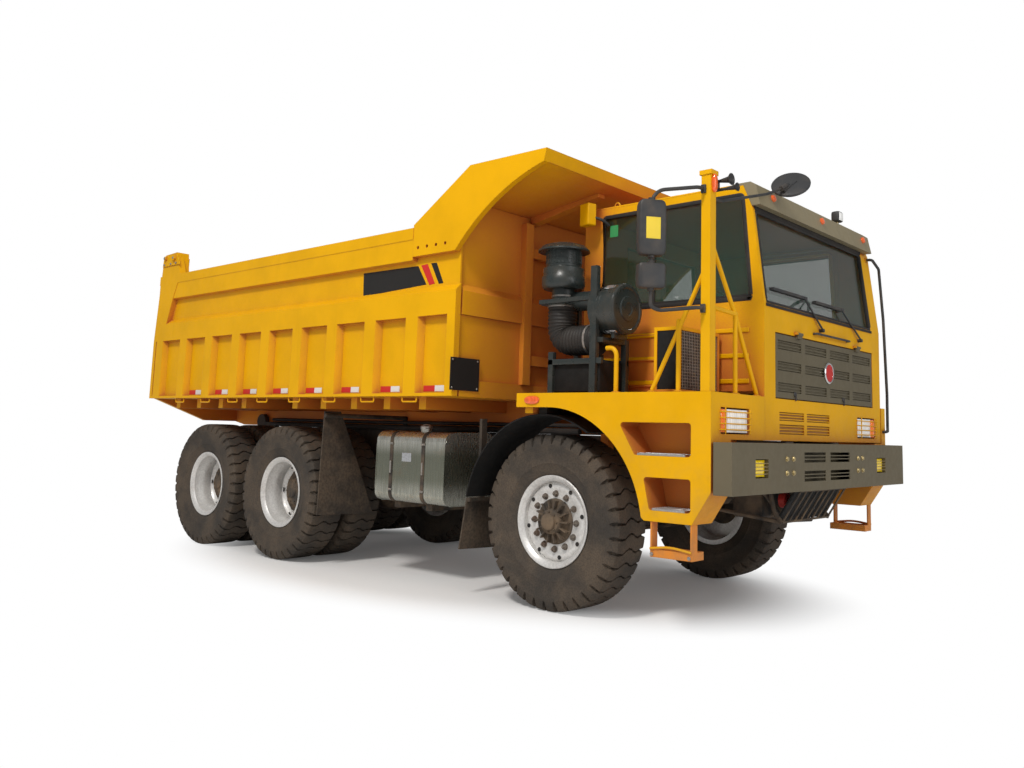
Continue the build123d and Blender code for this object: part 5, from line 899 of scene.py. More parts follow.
def make_door_fittings():
    """The left door's gasket and its handle."""
    x0, x1, y, z0, z1 = 2.647, 3.413, 1.444, 2.402, 3.108
    door = [(x0, y, z0), (x1, y, z0), (x1, y, z1), (x0, y, z1)]
    build("door_seal", [frame_strip(door, 0.024, 0.016, Z)], "seal", "door")
    handle = [bar((2.65, 1.462, 2.27), (2.82, 1.468, 2.34), axis=1),
              tube([(2.66, 1.470, 2.305), (2.67, 1.488, 2.305), (2.80, 1.488, 2.305),
                    (2.81, 1.470, 2.305)], 0.008)]
    build("door_handle", handle, "plastic", "door")


def make_grille_fittings():
    """Grille latches, the plain round badge on the grille and the shade behind the vents."""
    front = CAB_FRONT
    latches = []
    for y in (-0.30, 0.62):
        latches.append(lathe([(0.020, 0), (0.020, 0.006), (0.014, 0.012)], 14,
                             (front - 0.003, y, 1.700), X))
        latches.append(bar((front + 0.004, y - 0.005, 1.650), (front + 0.014, y + 0.005, 1.712), 0.002))
    build("grille_latches", latches, "plastic", "grille_flap")
    badge = [lathe([(0.088, 0), (0.088, 0.010), (0.080, 0.016), (0.072, 0.014), (0.072, 0.008)], 40,
                   (front - 0.002, 0.325, 1.905), X),
             lathe([(0.072, 0.006), (0.072, 0.010), (0.030, 0.0125)], 40,
                   (front - 0.002, 0.325, 1.905), X, finish=1)]
    build("plain_badge", badge, ("chrome", "red_tape"), "grille_flap")
    vent = [bar((front - 0.013, y0, z0), (front - 0.012, y1, z1), 0.0004, axis=0)
            for y0, y1 in ((-0.562, -0.146), (-0.089, 0.330))
            for z0, z1 in ((1.395, 1.465), (1.496, 1.557))]
    build("vent_backs", vent, "recess", ROOT)


def make_cab_sides():
    """Rain gutters and door hinges, the right side's ribs with the box lamp at the rear corner,
    the left door's inner frame and a blank sticker."""
    gutter = [tube([(2.19, y, 3.268), (3.60, y, 3.268)], 0.012)
              for y in (CAB_RIGHT + 0.012, CAB_LEFT - 0.012)]
    for z in (1.97, 2.95):
        gutter.append(lathe([(0.018, 0), (0.018, 0.13)], 14, (3.496, 1.484, z), Z))
    build("roof_gutters", gutter, "yellow", ROOT)
    ribs = [bar((2.330, CAB_RIGHT - 0.012, z - 0.018),
                (3.720, CAB_RIGHT + 0.002, z + 0.018), 0.005, axis=1)
            for z in (1.775, 1.965, 2.155)]
    box = bar((-0.060, -0.045, -0.095), (0.060, 0.045, 0.095), 0.008, axis=0).turned(-14, Z)
    ribs.append(box.moved((2.275, -0.930, 3.198)))
    build("side_ribs", ribs, "rail", ROOT)
    arm = [tube([(2.31, -0.92, 3.18), (2.38, -0.87, 3.16), (2.40, -0.795, 3.12)], 0.013)]
    build("box_lamp_arm", arm, "plastic", ROOT)
    y = 1.375
    inner = [(2.60, y, 2.36), (3.46, y, 2.36), (3.42, y, 3.13), (2.60, y, 3.13)]
    build("door_inner_frame", [frame_strip(inner, 0.060, 0.020, Z)], "rail", "door")
    sticker = [bar((2.405, CAB_RIGHT + 0.0125, 3.015),
                   (2.490, CAB_RIGHT + 0.0135, 3.115), 0.0003, axis=1)]
    build("blank_sticker", sticker, "green_tape", ROOT)


# Lamps

HEADLAMPS = (
    # inner y and outer y of the clear lens, far y of the amber lens, z from, z to
    (-1.048, -1.342, -1.429, 1.388, 1.556),
    (0.923, 1.230, 1.304, 1.388, 1.556),
)
LAMP_X = 3.845
LAMP_FINISHES = ("clear", "plastic", "amber", "mirror", "brass", "yellow_lens", "red", "rail")
CLEAR, PLASTIC, AMBER, MIRROR, BRASS, YELLOW, RED, WIRE = range(8)
FOGS = ((-1.237, -1.058), (0.933, 1.126))


def dished(y0, y1, z0, z1, x, deep, finish):
    """Lens that swells forward: x rises by deep times the product of two humps, 1 - u^4 each."""
    u = np.linspace(-1, 1, 15)
    hump = 1 - np.abs(u) ** 4
    yy, zz = np.meshgrid((y0 + y1) / 2 + u * (y1 - y0) / 2, (z0 + z1) / 2 + u * (z1 - z0) / 2)
    face = np.stack([x + deep * hump[None] * hump[:, None] + 0 * yy, yy, zz], -1).reshape(-1, 3)
    back = face * (0, 1, 1) + (x - 0.012, 0, 0)
    n = len(u)
    grid = grid_quads(n, n, closed_cols=False)
    rim = np.concatenate([np.arange(n), np.arange(1, n) * n + n - 1, n * n - 2 - np.arange(n - 1),
                          (n - 2 - np.arange(n - 2)) * n])
    wrap = np.stack([rim, np.roll(rim, -1), np.roll(rim, -1) + n * n, rim + n * n], -1)
    quads = np.concatenate([grid, grid[:, ::-1] + n * n, wrap])
    return Shell(np.concatenate([face, back]), quads, finish=finish)


def headlamp(inner, outer, amber, z0, z1):
    """Housing, clear lens with two reflectors, amber side lens and the wire guard before them."""
    y0, y1 = sorted((inner, outer))
    a0, a1 = sorted((outer, amber))
    right, left = min(y0, a0), max(y1, a1)
    shells = [bar((LAMP_X - 0.058, right, z0), (LAMP_X - 0.018, left, z1), 0.004,
                  finish=PLASTIC, axis=0)]
    for start, end, gap, swell, finish in ((y0, y1, 0.006, 0.016, CLEAR),
                                           (a0, a1, 0.004, 0.012, AMBER)):
        shells.append(dished(start + gap, end - gap, z0 + 0.006, z1 - 0.006, LAMP_X - 0.008,
                             swell, finish=finish))
    reflector = [(0.012, 0.0), (0.034, 0.012), (0.036, 0.012), (0.036, 0.0)]
    for share in (0.28, 0.72):
        centre = (LAMP_X - 0.016, y0 + (y1 - y0) * 0.5, z0 + (z1 - z0) * share)
        shells.append(lathe(reflector, 24, centre, X, finish=MIRROR))
    wire = 0.0045
    for z in np.linspace(z0 + 0.024, z1 - 0.024, 4):
        line = [(LAMP_X - 0.014, right - 0.018, z), (LAMP_X + 0.022, right - 0.012, z),
                (LAMP_X + 0.022, left + 0.012, z), (LAMP_X - 0.014, left + 0.018, z)]
        shells.append(tube(line, wire, finish=WIRE, bend=0.012, sides=8))
    for y in (right + 0.02, left - 0.02):
        upright = [(LAMP_X + 0.023, y, z0 - 0.004), (LAMP_X + 0.023, y, z1 + 0.004)]
        shells.append(tube(upright, wire, finish=WIRE, sides=8))
    return shells


def fog_lamp(y0, y1):
    """Flat housing with a yellow lens and four brass wires before it."""
    shells = [bar((3.945, y0 - 0.002, 1.098), (3.965, y1 + 0.002, 1.215), 0.002,
                  finish=PLASTIC, axis=0),
              dished(y0 + 0.004, y1 - 0.004, 1.101, 1.212, 3.972, 0.012, finish=YELLOW)]
    low, tall, wires = 1.097, 0.119, 4
    for k in range(1, wires + 1):
        z = low + tall * k / (wires + 1)
        shells.append(tube([(3.996, y0 - 0.004, z), (3.996, y1 + 0.004, z)], 0.003,
                           finish=BRASS, sides=6))
    return shells


def make_lamps():
    """Headlamps, fog lamps, the visor's and side marker lamps, and the work lamp on the roof."""
    shells = []
    for places in HEADLAMPS:
        shells += headlamp(*places)
    for places in FOGS:
        shells += fog_lamp(*places)
    out = np.array([0.155, 0, 0.035]) / np.hypot(0.155, 0.035)
    marker = [(0.028, 0), (0.028, 0.008), (0.026, 0.017), (0.018, 0.022)]
    for y in (-0.549, 0.344, 1.237):
        seat = np.array([3.7874, y, 3.195]) + out * 0.0006
        shells.append(lathe(marker, 20, seat, out, finish=RED))
    shells.append(superbox((3.682, 0.925, 3.366), (0.080, 0.106, 0.098), 5.0, finish=PLASTIC))
    shells.append(dished(0.884, 0.966, 3.330, 3.402, 3.720, 0.006, finish=CLEAR))
    shells.append(lathe([(0.013, 0), (0.013, 0.045)], 12, (3.682, 0.925, 3.2825), Z, finish=BRASS))
    shells.append(superbox((2.263, -1.566, 1.605), (0.150, 0.024, 0.062), 2.4, finish=RED))
    shells.append(superbox((3.842, -1.520, 3.082), (0.040, 0.052, 0.130), 2.4, finish=RED))
    build("lamps_detailed", shells, LAMP_FINISHES, ROOT, ["lamps"])


# Front and mirrors

MIRROR_Y = 1.89
MIRROR_TURN = 38
MIRROR_ARM = 0.013


def make_front():
    """Bumper bolts, the tow pin, and the stays seen through the bar guard, with a black plate behind
    them as painted shade.
    """
    places = [(4.0, y, z) for y in (-0.776, -0.672, 0.515, 0.610) for z in (1.220, 1.121)]
    build("bumper_bolts", bolts(places, 0.016, 0.014, X), "brass", ROOT)
    pin = [lathe([(0.0, 0.03), (0.050, 0.03), (0.062, 0.02), (0.062, -0.03)], 28,
                 (3.700, -0.190, 0.890), X)]
    build("tow_pin", pin, "red_tape", ROOT)
    stays = []
    for y in (-0.37, 0.47):
        stays.append(tube([(3.76, y, 0.735), (3.70, y, 0.80), (3.66, y, 1.00)], 0.018))
        stays.append(tube([(3.76, y, 0.735), (3.20, y * 1.1, 0.80), (3.05, y * 1.1, 0.93)], 0.016))
    stays.append(bar((3.30, -0.30, 0.74), (3.56, 0.46, 0.96), 0.02))
    # Painted shade: a near-black plate behind the bar guard fills the shaded gap under the bumper.
    stays.append(plate([(3.870, 0.968), (3.722, 0.738), (3.706, 0.742), (3.852, 0.968)],
                       -0.37, 0.47, 1, finish=1))
    stays.append(bar((3.10, -0.70, 0.78), (3.22, -0.50, 1.00), 0.02))
    stays.append(tube([(3.62, -0.40, 0.96), (3.62, -0.05, 0.72), (3.62, 0.45, 0.70)], 0.016))
    build("guard_stays", stays, ("frame", "liner"), ROOT)


def mirror_head(x, side, z, height):
    """Housing with its reflecting face to the rear, turned in toward the driver."""
    shells = [superbox((0, 0, 0), (0.090, 0.190, height), 7.0),
              bar((-0.0475, -0.076, 0.020 - height / 2), (-0.0425, 0.076, height / 2 - 0.020),
                  0.0015, finish=1, axis=0)]
    for end in (-height / 2, height / 2):
        shells.append(lathe([(0.0, -0.016), (0.024, -0.014), (0.024, 0.014), (0.0, 0.016)], 14,
                            (0, 0, end), Z))
    return [shell.turned(MIRROR_TURN * side, Z).moved((x, MIRROR_Y * side, z)) for shell in shells]


def make_mirrors():
    """Mirrors on their bent arms and the round mirror over the visor, in place of the CAD's
    plain ones, with a blank sticker on the back of the main housing."""
    shells = mirror_head(3.580, -1, 2.730, 0.380) + mirror_head(3.580, -1, 2.405, 0.170)
    arm = [(3.78, -1.557, 3.040), (3.78, -1.620, 3.040), (3.60, -1.830, 3.000), (3.58, -1.890, 2.930),
           (3.58, -1.890, 2.200), (3.61, -1.830, 2.180), (3.78, -1.620, 2.215), (3.78, -1.557, 2.215)]
    shells.append(tube(arm, MIRROR_ARM))
    for z in (3.040, 2.215):
        shells.append(bar((3.762, -1.572, z - 0.03), (3.800, -1.556, z + 0.03), 0.004))
    out = np.array([0.27, -0.74, 0.62])
    out /= np.linalg.norm(out)
    centre = np.array([3.92, -0.515, 3.292])
    dish = [(0.100, -0.018), (0.136, -0.016), (0.146, -0.008), (0.148, 0.002), (0.142, 0.010),
            (0.110, 0.017), (0.040, 0.018)]
    shells.append(lathe(dish, 48, centre, out))
    shells.append(lathe([(0.100, -0.0185), (0.130, -0.0172)], 48, centre, out, finish=1))
    shells.append(tube([(3.81, -1.4835, 2.985), (3.81, -1.39, 2.985), (3.86, -0.775, 3.170),
                        (3.898, -0.605, 3.250)], 0.011))
    shells.append(tube([(3.898, -0.635, 3.235), (3.915, -0.555, 3.282)], 0.021))
    shells.append(tube([centre + out * 0.016 + np.array(q)
                        for q in ((0.035, 0.025, 0.015), (-0.02, -0.08, -0.08))], 0.011))
    faces = ("plastic", "mirror")
    build("mirror_set_right", shells, faces, ROOT, ["mirrors_right"])
    left = mirror_head(3.532, 1, 2.700, 0.380)
    arm = [(3.62, 1.461, 2.960), (3.62, 1.540, 2.960), (3.532, 1.890, 2.940),
           (3.532, 1.890, 2.440), (3.62, 1.540, 2.400), (3.62, 1.461, 2.400)]
    left.append(tube(arm, MIRROR_ARM))
    build("mirror_set_left", left, faces, ROOT, ["mirror_left"])
    sticker = bar((0.0452, -0.050, -0.092), (0.0458, 0.050, 0.055), 0.0003, axis=0)
    sticker = sticker.turned(-MIRROR_TURN, Z).moved((3.580, -MIRROR_Y, 2.740))
    build("mirror_sticker", [sticker], "yellow_tape", ROOT)


# Walkway, intake and tank

DECK_Z = 1.6605
INTAKE_X, INTAKE_Y = 2.215, -1.160


def bands(places, radius, width, axis, finish=0):
    """Thin clamp bands round a pipe at each of the places."""
    out = []
    for place in places:
        ring = [(radius, -width / 2), (radius + 0.004, -width / 2),
                (radius + 0.004, width / 2), (radius, width / 2)]
        out.append(lathe(ring, 40, place, axis, finish=finish, closed=True))
    return out


def make_intake():
    """Pre-cleaner with its louvres, and the ribbed elbow hose: a circle carried along a bent
    path, with its radius rising and falling as a sine of the length run."""
    x, y = INTAKE_X, INTAKE_Y
    cap = [(0.030, 2.916), (0.120, 2.908), (0.180, 2.888), (0.213, 2.856), (0.215, 2.842),
           (0.196, 2.846), (0.160, 2.850)]
    body = [(0.146, 2.850), (0.146, 2.712), (0.170, 2.700), (0.170, 2.640), (0.178, 2.628),
            (0.178, 2.560), (0.168, 2.536), (0.158, 2.528), (0.093, 2.524), (0.093, 2.400)]
    shells = [lathe(cap, 48, (x, y, 0), Z), lathe(body, 48, (x, y, 0), Z)]
    shells += bands([(x, y, 2.735), (x, y, 2.772), (x, y, 2.806)], 0.1455, 0.008, Z)
    shells += bands([(x, y, 2.470), (x, y, 2.425)], 0.092, 0.014, Z, finish=1)
    louvre = bar((0.142, -0.0035, 2.740), (0.150, 0.0035, 2.840), 0.001)
    louvres = 30
    shells += [louvre.turned(360 / louvres * k, Z).moved((x, y, 0)) for k in range(louvres)]
    path = rounded_path([(x, y, 2.405), (x, y, 2.100), (2.600, y, 2.100)], 0.22, 14)
    run = np.concatenate([[0], np.cumsum(np.linalg.norm(np.diff(path, axis=0), axis=1))])
    even = np.linspace(0, run[-1], 90)
    fine = np.stack([np.interp(even, run, path[:, k]) for k in range(3)], -1)
    rib_pitch = 0.030
    wave = 0.118 + 0.0040 * np.sin(even * 2 * math.pi / rib_pitch)
    shells.append(carried(fine, circle(1.0, 28), Y, finish=2, grow=wave))
    shells += bands([(x, y, 2.385)], 0.121, 0.018, Z, finish=1)
    shells += bands([(2.530, y, 2.100)], 0.121, 0.018, X, finish=1)
    used = ("intake", "steel", "seal")
    build("intake_detailed", shells, used, ROOT, ["air_intake"])


def make_filter():
    """Filter drum with its hooks, and the black stand of posts and shelves under it."""
    x, y = INTAKE_X, INTAKE_Y
    z, end, r = 2.325, 2.873, 0.188
    drum = [(0.10, 2.600), (r - 0.02, 2.605), (r, 2.620), (r, 2.775), (r + 0.012, 2.785),
            (r + 0.012, end - 0.012), (r, end), (0.166, end + 0.002), (0.158, end - 0.006),
            (0.100, end - 0.002), (0.094, end + 0.006), (0.050, end + 0.008), (0.044, end + 0.002)]
    shells = [lathe([(wide, along - end) for wide, along in drum], 56, (end, y, z), X)]
    shells += bands([(2.650, y, z), (2.720, y, z)], r - 0.002, 0.012, X)
    hook = [bar((-0.055, -0.016, r), (0.045, 0.016, r + 0.014), finish=1, axis=0)]
    for side in (-0.010, 0.010):
        wire = [(-0.080, side, r + 0.006), (-0.03, side, r + 0.020), (0.035, side, r + 0.018)]
        hook.append(tube(wire, 0.003, finish=1, sides=6))
    for angle in (35, 155, 275):
        shells += [part.turned(angle, X).moved((2.785, y, z)) for part in hook]
    shells.append(tube([(x + 0.05, y + 0.05, 2.44), (2.36, y + 0.06, 2.43), (2.62, y + 0.03, 2.42)],
                       0.080, bend=0.1, sides=20))
    low = DECK_Z
    shells.append(bar((2.640, -1.340, low), (2.700, -1.290, 2.660), 0.004))
    posts = (
        # x, y, top
        (2.215, -1.330, 2.000), (2.215, -1.010, 2.400), (2.700, -1.010, 2.100),
        (2.450, -1.010, 2.000),
    )
    for px, py, top in posts:
        shells.append(bar((px, py, low), (px + 0.050, py + 0.045, top)))
    for py in (-1.330, -0.995):
        shells.append(bar((2.215, py, 1.895), (2.750, py + 0.030, 1.940), axis=0))
    shells.append(bar((2.660, -1.310, 2.060), (2.745, -0.965, 2.100), 0.004, axis=1))
    for px in (2.640, 2.780):
        shells.append(bar((px, -1.250, 2.090), (px + 0.030, -1.070, 2.160), 0.004))
    shells.append(bar((2.200, -1.300, 1.665), (2.720, -1.010, 1.930), 0.020, finish=2))
    shells.append(bar((2.100, -1.330, 2.395), (2.645, -1.300, 2.430), axis=0))
    shells.append(bar((2.100, -1.300, 2.388), (2.350, -1.020, 2.398), axis=0))
    build("filter_detailed", shells, ("intake", "chrome", "liner"), ROOT,
          ["air_filter"])


def make_cooler_mesh():
    """Wire mesh before the cooler's dark core, and the dark panel on its right side."""
    mesh = [bar((3.4803, -1.369, 1.687), (3.4815, -0.867, 2.105), 0.0005, axis=0),
            bar((3.305, -1.3900, 1.687), (3.465, -1.3872, 2.105), 0.0005, axis=1)]
    x, pitch, wire = 3.4835, 0.022, 0.0022
    for z in np.arange(1.70, 2.10, pitch):
        mesh.append(tube([(x, -1.369, z), (x, -0.867, z)], wire, finish=1, sides=6))
    for y in np.arange(-1.36, -0.87, pitch):
        mesh.append(tube([(x, y, 1.688), (x, y, 2.104)], wire, finish=1, sides=6))
    build("cooler_mesh", mesh, ("liner", "steel"), ROOT)


def make_deck_checker():
    """Checker lozenges on the walkway's deck, in two directions by turns."""
    lozenge = lathe([(1.0, 0), (0.6, 1.0)], 8, (0, 0, 0), Z)
    pitch = 0.055
    rows, cols = np.meshgrid(np.arange(2.14, 3.80, pitch), np.arange(-1.535, -0.83, pitch),
                             indexing="ij")
    shells = []
    for turn, shift in ((45, 0.0), (-45, pitch / 2)):
        one = Shell(lozenge.points * (0.014, 0.004, 0.0016), lozenge.quads,
                    lozenge.polygons).turned(turn, Z)
        places = np.stack([rows + shift, cols + shift, 0 * rows + DECK_Z - 0.0005], -1).reshape(-1, 3)
        shells.append(repeated(one, places[::2] if turn > 0 else places[1::2]))
    build("deck_checker", shells, "yellow", ROOT)


def make_step_teeth():
    """Small round teeth on the treads of both sides' steps."""
    teeth, pitch = [], 0.024
    for x0, x1, z in ((3.262, 3.645, 1.2363), (3.392, 3.645, 0.8683)):
        tooth = lathe([(0.006, 0), (0.0045, 0.0028)], 8, (0, 0, 0), Z)
        gx, gy = np.meshgrid(np.arange(x0, x1, pitch), np.arange(-1.548, -1.345, pitch),
                             indexing="ij")
        teeth.append(repeated(tooth, np.stack([gx, gy, 0 * gx + z], -1).reshape(-1, 3)))
    build("tread_teeth", on_both_sides(teeth), "tread", ROOT)


def make_rail_feet():
    """Round flanges under the walkway's rail posts."""
    feet = []
    for x, y in ((3.350, -1.520), (3.564, -1.520), (3.796, -1.150), (3.796, -0.846), (3.007, -1.480)):
        feet.append(lathe([(0.034, 0), (0.034, 0.006), (0.022, 0.010)], 20, (x, y, DECK_Z), Z))
    build("rail_feet", feet, "yellow", ROOT)


def make_step_fittings():
    """Two bolts and a round bar on the lowest step of each side."""
    step = bolts([(x, -1.5605, 0.565) for x in (3.39, 3.685)], 0.010, 0.009, -Y)
    step.append(tube([(3.376, -1.556, 0.600), (3.53, -1.556, 0.622), (3.70, -1.556, 0.600)],
                     0.010, finish=1, bend=0.1))
    build("step_fittings", on_both_sides(step), ("steel", "yellow"), ROOT)


def make_tank():
    """Filler cap with its handle, the straps' bolts and rods, end seams and a bare plate."""
    x, y = 0.645, -1.195
    shells = [lathe([(0.056, 1.360), (0.058, 1.366), (0.058, 1.384), (0.050, 1.390)], 12, (x, y, 0), Z),
              tube([(x - 0.05, y, 1.392), (x, y, 1.402), (x + 0.05, y, 1.392)], 0.006)]
    for strap in (0.300, 0.740):
        for z in (0.80, 1.22):
            shells += bolts([(strap + 0.010, -1.3305, z), (strap + 0.032, -1.3305, z)], 0.008, 0.010,
                            -Y)
        shells.append(tube([(strap + 0.021, -1.334, 0.95), (strap + 0.021, -1.334, 1.06)], 0.009))
    right, left, low, high, corner = -1.325, -0.700, 0.690, 1.332, 0.085
    section = [(right + corner, low), (left - corner, low), (left, low + corner),
               (left, high - corner), (left - corner, high), (right + corner, high),
               (right, high - corner), (right, low + corner), (right + corner, low)]
    for end in (0.104, 1.041):
        seam = rounded_path([(end, across, z) for across, z in section], 0.05)
        shells.append(carried(seam, circle(0.006, 6), X, finish=1))
    shells.append(bar((0.47, -1.3268, 1.06), (0.60, -1.3252, 1.14), 0.0006, finish=2, axis=1))
    build("tank_fittings", shells, ("steel", "tank", "mirror"), ROOT)


# Running gear


def leaf(x, y, half, end_z, mid_z, thick):
    """One spring leaf: a flat bar carried along the parabola z = mid + (end - mid)*(s/half)^2."""
    s = np.linspace(-half, half, 17)
    path = np.stack([x + s, y + 0 * s, mid_z + (end_z - mid_z) * (s / half) ** 2], -1)
    return carried(path, rounded_rectangle(0.088, thick, 0.003), Z)


def make_springs():
    """Front and rear leaf packs with their U-bolts, in place of the CAD's plain arcs."""
    shells = []
    low = AXLE1[2] + 0.0525
    leaves = 7
    for k in range(leaves):
        half = 0.748 - 0.085 * max(0, k - 1)
        seat = low + 0.011 * (leaves - k)
        end = seat + 0.170 * (half / 0.75) ** 2
        shells.append(leaf(AXLE1[0], -0.415, half, end, seat - 0.004, 0.010))
    for x in (2.24, 2.38):
        u = [(x, -0.362, low - 0.10), (x, -0.362, low + 0.095), (x, -0.468, low + 0.095),
             (x, -0.468, low - 0.10)]
        shells.append(tube(u, 0.009, bend=0.03))
    mid = AXLE1[2] + 0.190
    for k in range(8):
        half = 0.808 - 0.07 * k
        seat = mid + 0.0095 * k + 0.006
        end = seat - 0.084 * (half / 0.81) ** 2
        shells.append(leaf(-2.040, -0.562, half, end, seat, 0.009))
    for x in (-2.115, -1.965):
        u = [(x, -0.512, mid - 0.12), (x, -0.512, mid + 0.088), (x, -0.612, mid + 0.088),
             (x, -0.612, mid - 0.12)]
        shells.append(tube(u, 0.011, bend=0.03))
    build("leaf_springs", on_both_sides(shells), "frame", ROOT, ["springs"])


def make_underbody():
    """Tie rod, drag link, brake chambers and hoses, sump and pulleys, and the frame's looms."""
    z = AXLE1[2] - 0.17
    tie_rod = [(2.07, -0.90, z), (2.05, 0, z), (2.07, 0.90, z)]
    parts = [tube(tie_rod, 0.018, bend=0.3)]
    parts.append(tube([(3.30, 0.40, 1.05), (3.28, 0.40, 0.86), (2.62, 0.62, 0.76), (2.50, 0.66, 0.76)],
                      0.020))
    for x in (AXLE2[0], AXLE3[0]):
        for y in (-0.36, 0.36):
            parts.append(lathe([(0.040, -0.09), (0.078, -0.08), (0.082, 0.0), (0.078, 0.08),
                                (0.040, 0.09)], 24, (x - 0.20, y, AXLE1[2] + 0.14), X))
            parts.append(tube([(x - 0.27, y, AXLE1[2] + 0.17), (x - 0.35, y, 1.02),
                               (x - 0.10, y * 0.9, 1.12)], 0.010, finish=1, bend=0.08))
    parts.append(bar((2.20, -0.20, 0.80), (3.05, 0.20, 0.96), 0.04))
    parts.append(lathe([(0.10, 0), (0.11, 0.01), (0.11, 0.05), (0.10, 0.06)], 28, (3.215, 0, 1.18), X))
    parts.append(lathe([(0.07, 0), (0.075, 0.01), (0.075, 0.05), (0.07, 0.06)], 24,
                       (3.215, 0.19, 1.34), X))
    for side in (-1, 1):
        for z, radius in ((1.372, 0.028), (1.425, 0.018)):
            loom = [(-3.000, side * 0.505, z), (-1.200, side * 0.510, z - 0.006),
                    (0.500, side * 0.503, z), (1.900, side * 0.508, z)]
            parts.append(tube(loom, radius, finish=1, bend=0.3))
    build("underbody", parts, ("cast", "seal"), ROOT)


# Cab inside


def make_seat():
    """Cushioned seat with two bolsters, on its bellows."""
    x, y, floor = 2.790, 0.850, 1.7552
    base = [bar((x - 0.15, y - 0.15, floor), (x + 0.15, y + 0.15, floor + 0.04), 0.006),
            bar((x - 0.20, y - 0.22, floor + 0.235), (x + 0.22, y + 0.22, floor + 0.262), 0.006)]
    for k in range(6):
        base.append(lathe([(0.125, 0), (0.150, 0.016), (0.125, 0.032)], 28,
                          (x, y, floor + 0.040 + 0.0325 * k), Z, finish=1))
    build("seat_base", base, ("plastic", "seal"), ROOT)
    seat = [superbox((x, y, floor + 0.320), (0.50, 0.50, 0.13), 5.0),
            superbox((x - 0.255, y, floor + 0.66), (0.11, 0.46, 0.66), 5.0, tilt=-6.0)]
    seat += [superbox((x - 0.02, y + side, floor + 0.345), (0.46, 0.09, 0.10))
             for side in (-0.215, 0.215)]
    cushion = build("seat_cushions", seat, "cloth", ROOT, ["driver_seat"])


def make_dashboard():
    """Steering wheel on its column, and the instrument shelf with its dials and switch row."""
    hub, foot = np.array([3.270, 0.850, 2.440]), np.array([3.530, 0.850, 2.230])
    facing = (hub - foot) / np.linalg.norm(hub - foot)
    rim, grip = 0.215, 0.014
    ring = lathe([(rim + grip * math.cos(t), grip * math.sin(t)) for t in np.arange(10) * math.pi / 5],
                 48, hub, facing, closed=True)
    wheel = [ring, lathe([(0.050, -0.02), (0.056, 0.0), (0.040, 0.018)], 24, hub, facing)]
    a, b, _ = frame_of(facing)
    for angle in (90, 210, 330):
        out = math.cos(math.radians(angle)) * a + math.sin(math.radians(angle)) * b
        wheel.append(carried([hub + out * 0.03, hub + out * rim],
                             rounded_rectangle(0.024, 0.010, 0.004), facing))
    wheel.append(tube([hub - facing * 0.01, foot], 0.032))
    outline = [(3.784, 1.80), (3.784, 2.33), (3.56, 2.335), (3.50, 2.30), (3.47, 2.20), (3.57, 1.80)]
    wheel.append(plate(outline, -0.741, 1.401, 1, finish=1))
    for k in range(3):
        wheel.append(lathe([(0.040, 0), (0.043, 0.006), (0.038, 0.010)], 24,
                           (3.484, 0.72 + 0.13 * k, 2.262), (-1, 0, 0.3), finish=2))
    wheel.append(bar((3.475, 0.10, 2.225), (3.487, 0.42, 2.285), finish=2, axis=1))
    build("dash_and_wheel", wheel, ("plastic", "inside", "foam"), ROOT,
          ["dashboard"])


# Studio

CAMERA = {"place": (6.843, -6.668, 1.366), "yaw": 130.733, "pitch": 7.214, "roll": 1.568,
          "lens": 31.038, "shift": (-0.0390, -0.0625)}


def make_camera():
    """Camera at the photograph's place: looking along yaw and pitch, then rolled."""
    yaw, pitch, roll = (math.radians(CAMERA[k]) for k in ("yaw", "pitch", "roll"))
    ahead = np.array([math.cos(pitch) * math.cos(yaw),
                      math.cos(pitch) * math.sin(yaw), math.sin(pitch)])
    right = np.cross(ahead, Z)
    right /= np.linalg.norm(right)
    up = np.cross(right, ahead)
    right, up = (right * math.cos(roll) + up * math.sin(roll),
                 up * math.cos(roll) - right * math.sin(roll))
    data = bpy.data.cameras.new("photo_camera")
    data.lens, data.sensor_width = CAMERA["lens"], 36.0
    data.shift_x, data.shift_y = CAMERA["shift"]
    camera = bpy.data.objects.new("photo_camera", data)
    bpy.context.scene.collection.objects.link(camera)
    matrix = Matrix(np.stack([right, up, -ahead], 1).tolist()).to_4x4()
    matrix.translation = CAMERA["place"]
    camera.matrix_world = matrix
    bpy.context.scene.camera = camera


def area_light(name, place, target, size, power, colour=(1, 1, 1)):
    """Soft square lamp aimed at a point."""
    data = bpy.data.lights.new(name, "AREA")
    data.energy, data.size, data.color = power, size, colour
    lamp = bpy.data.objects.new(name, data)
    bpy.context.scene.collection.objects.link(lamp)
    lamp.location = place
    lamp.rotation_euler = (Vector(target) - Vector(place)).to_track_quat("-Z", "Y").to_euler()


def floor_finish():
    """Pale matte ground below the truck that fades to plain white, for the camera only, where
    the ellipse about the truck passes from near to far."""
    r = Recipe("pale_floor")
    near, far = 0.68, 1.02
    half_length, half_width = 4.2, 2.5
    reach = r.node("ShaderNodeVectorMath", operation="LENGTH")
    r.feed(reach.inputs[0], r.stretched((1 / half_length, 1 / half_width, 1.0)))
    seen = r.node("ShaderNodeLightPath").outputs["Is Camera Ray"]
    fade = r.math("MULTIPLY", r.window(reach.outputs["Value"], near, far), seen)
    lift = r.math("MULTIPLY", seen, 0.06)
    r.set(Base_Color=(0.78, 0.775, 0.77), Roughness=0.95, Specular_IOR_Level=0.0,
          Emission_Color=(1.0, 1.0, 1.0), Emission_Strength=lift)
    white = r.node("ShaderNodeEmission")
    mix = r.node("ShaderNodeMixShader")
    r.feed(mix.inputs[0], fade)
    r.tree.links.new(r.shader.outputs[0], mix.inputs[1])
    r.tree.links.new(white.outputs[0], mix.inputs[2])
    r.tree.links.new(mix.outputs[0], r.out.inputs[0])
    return r.material


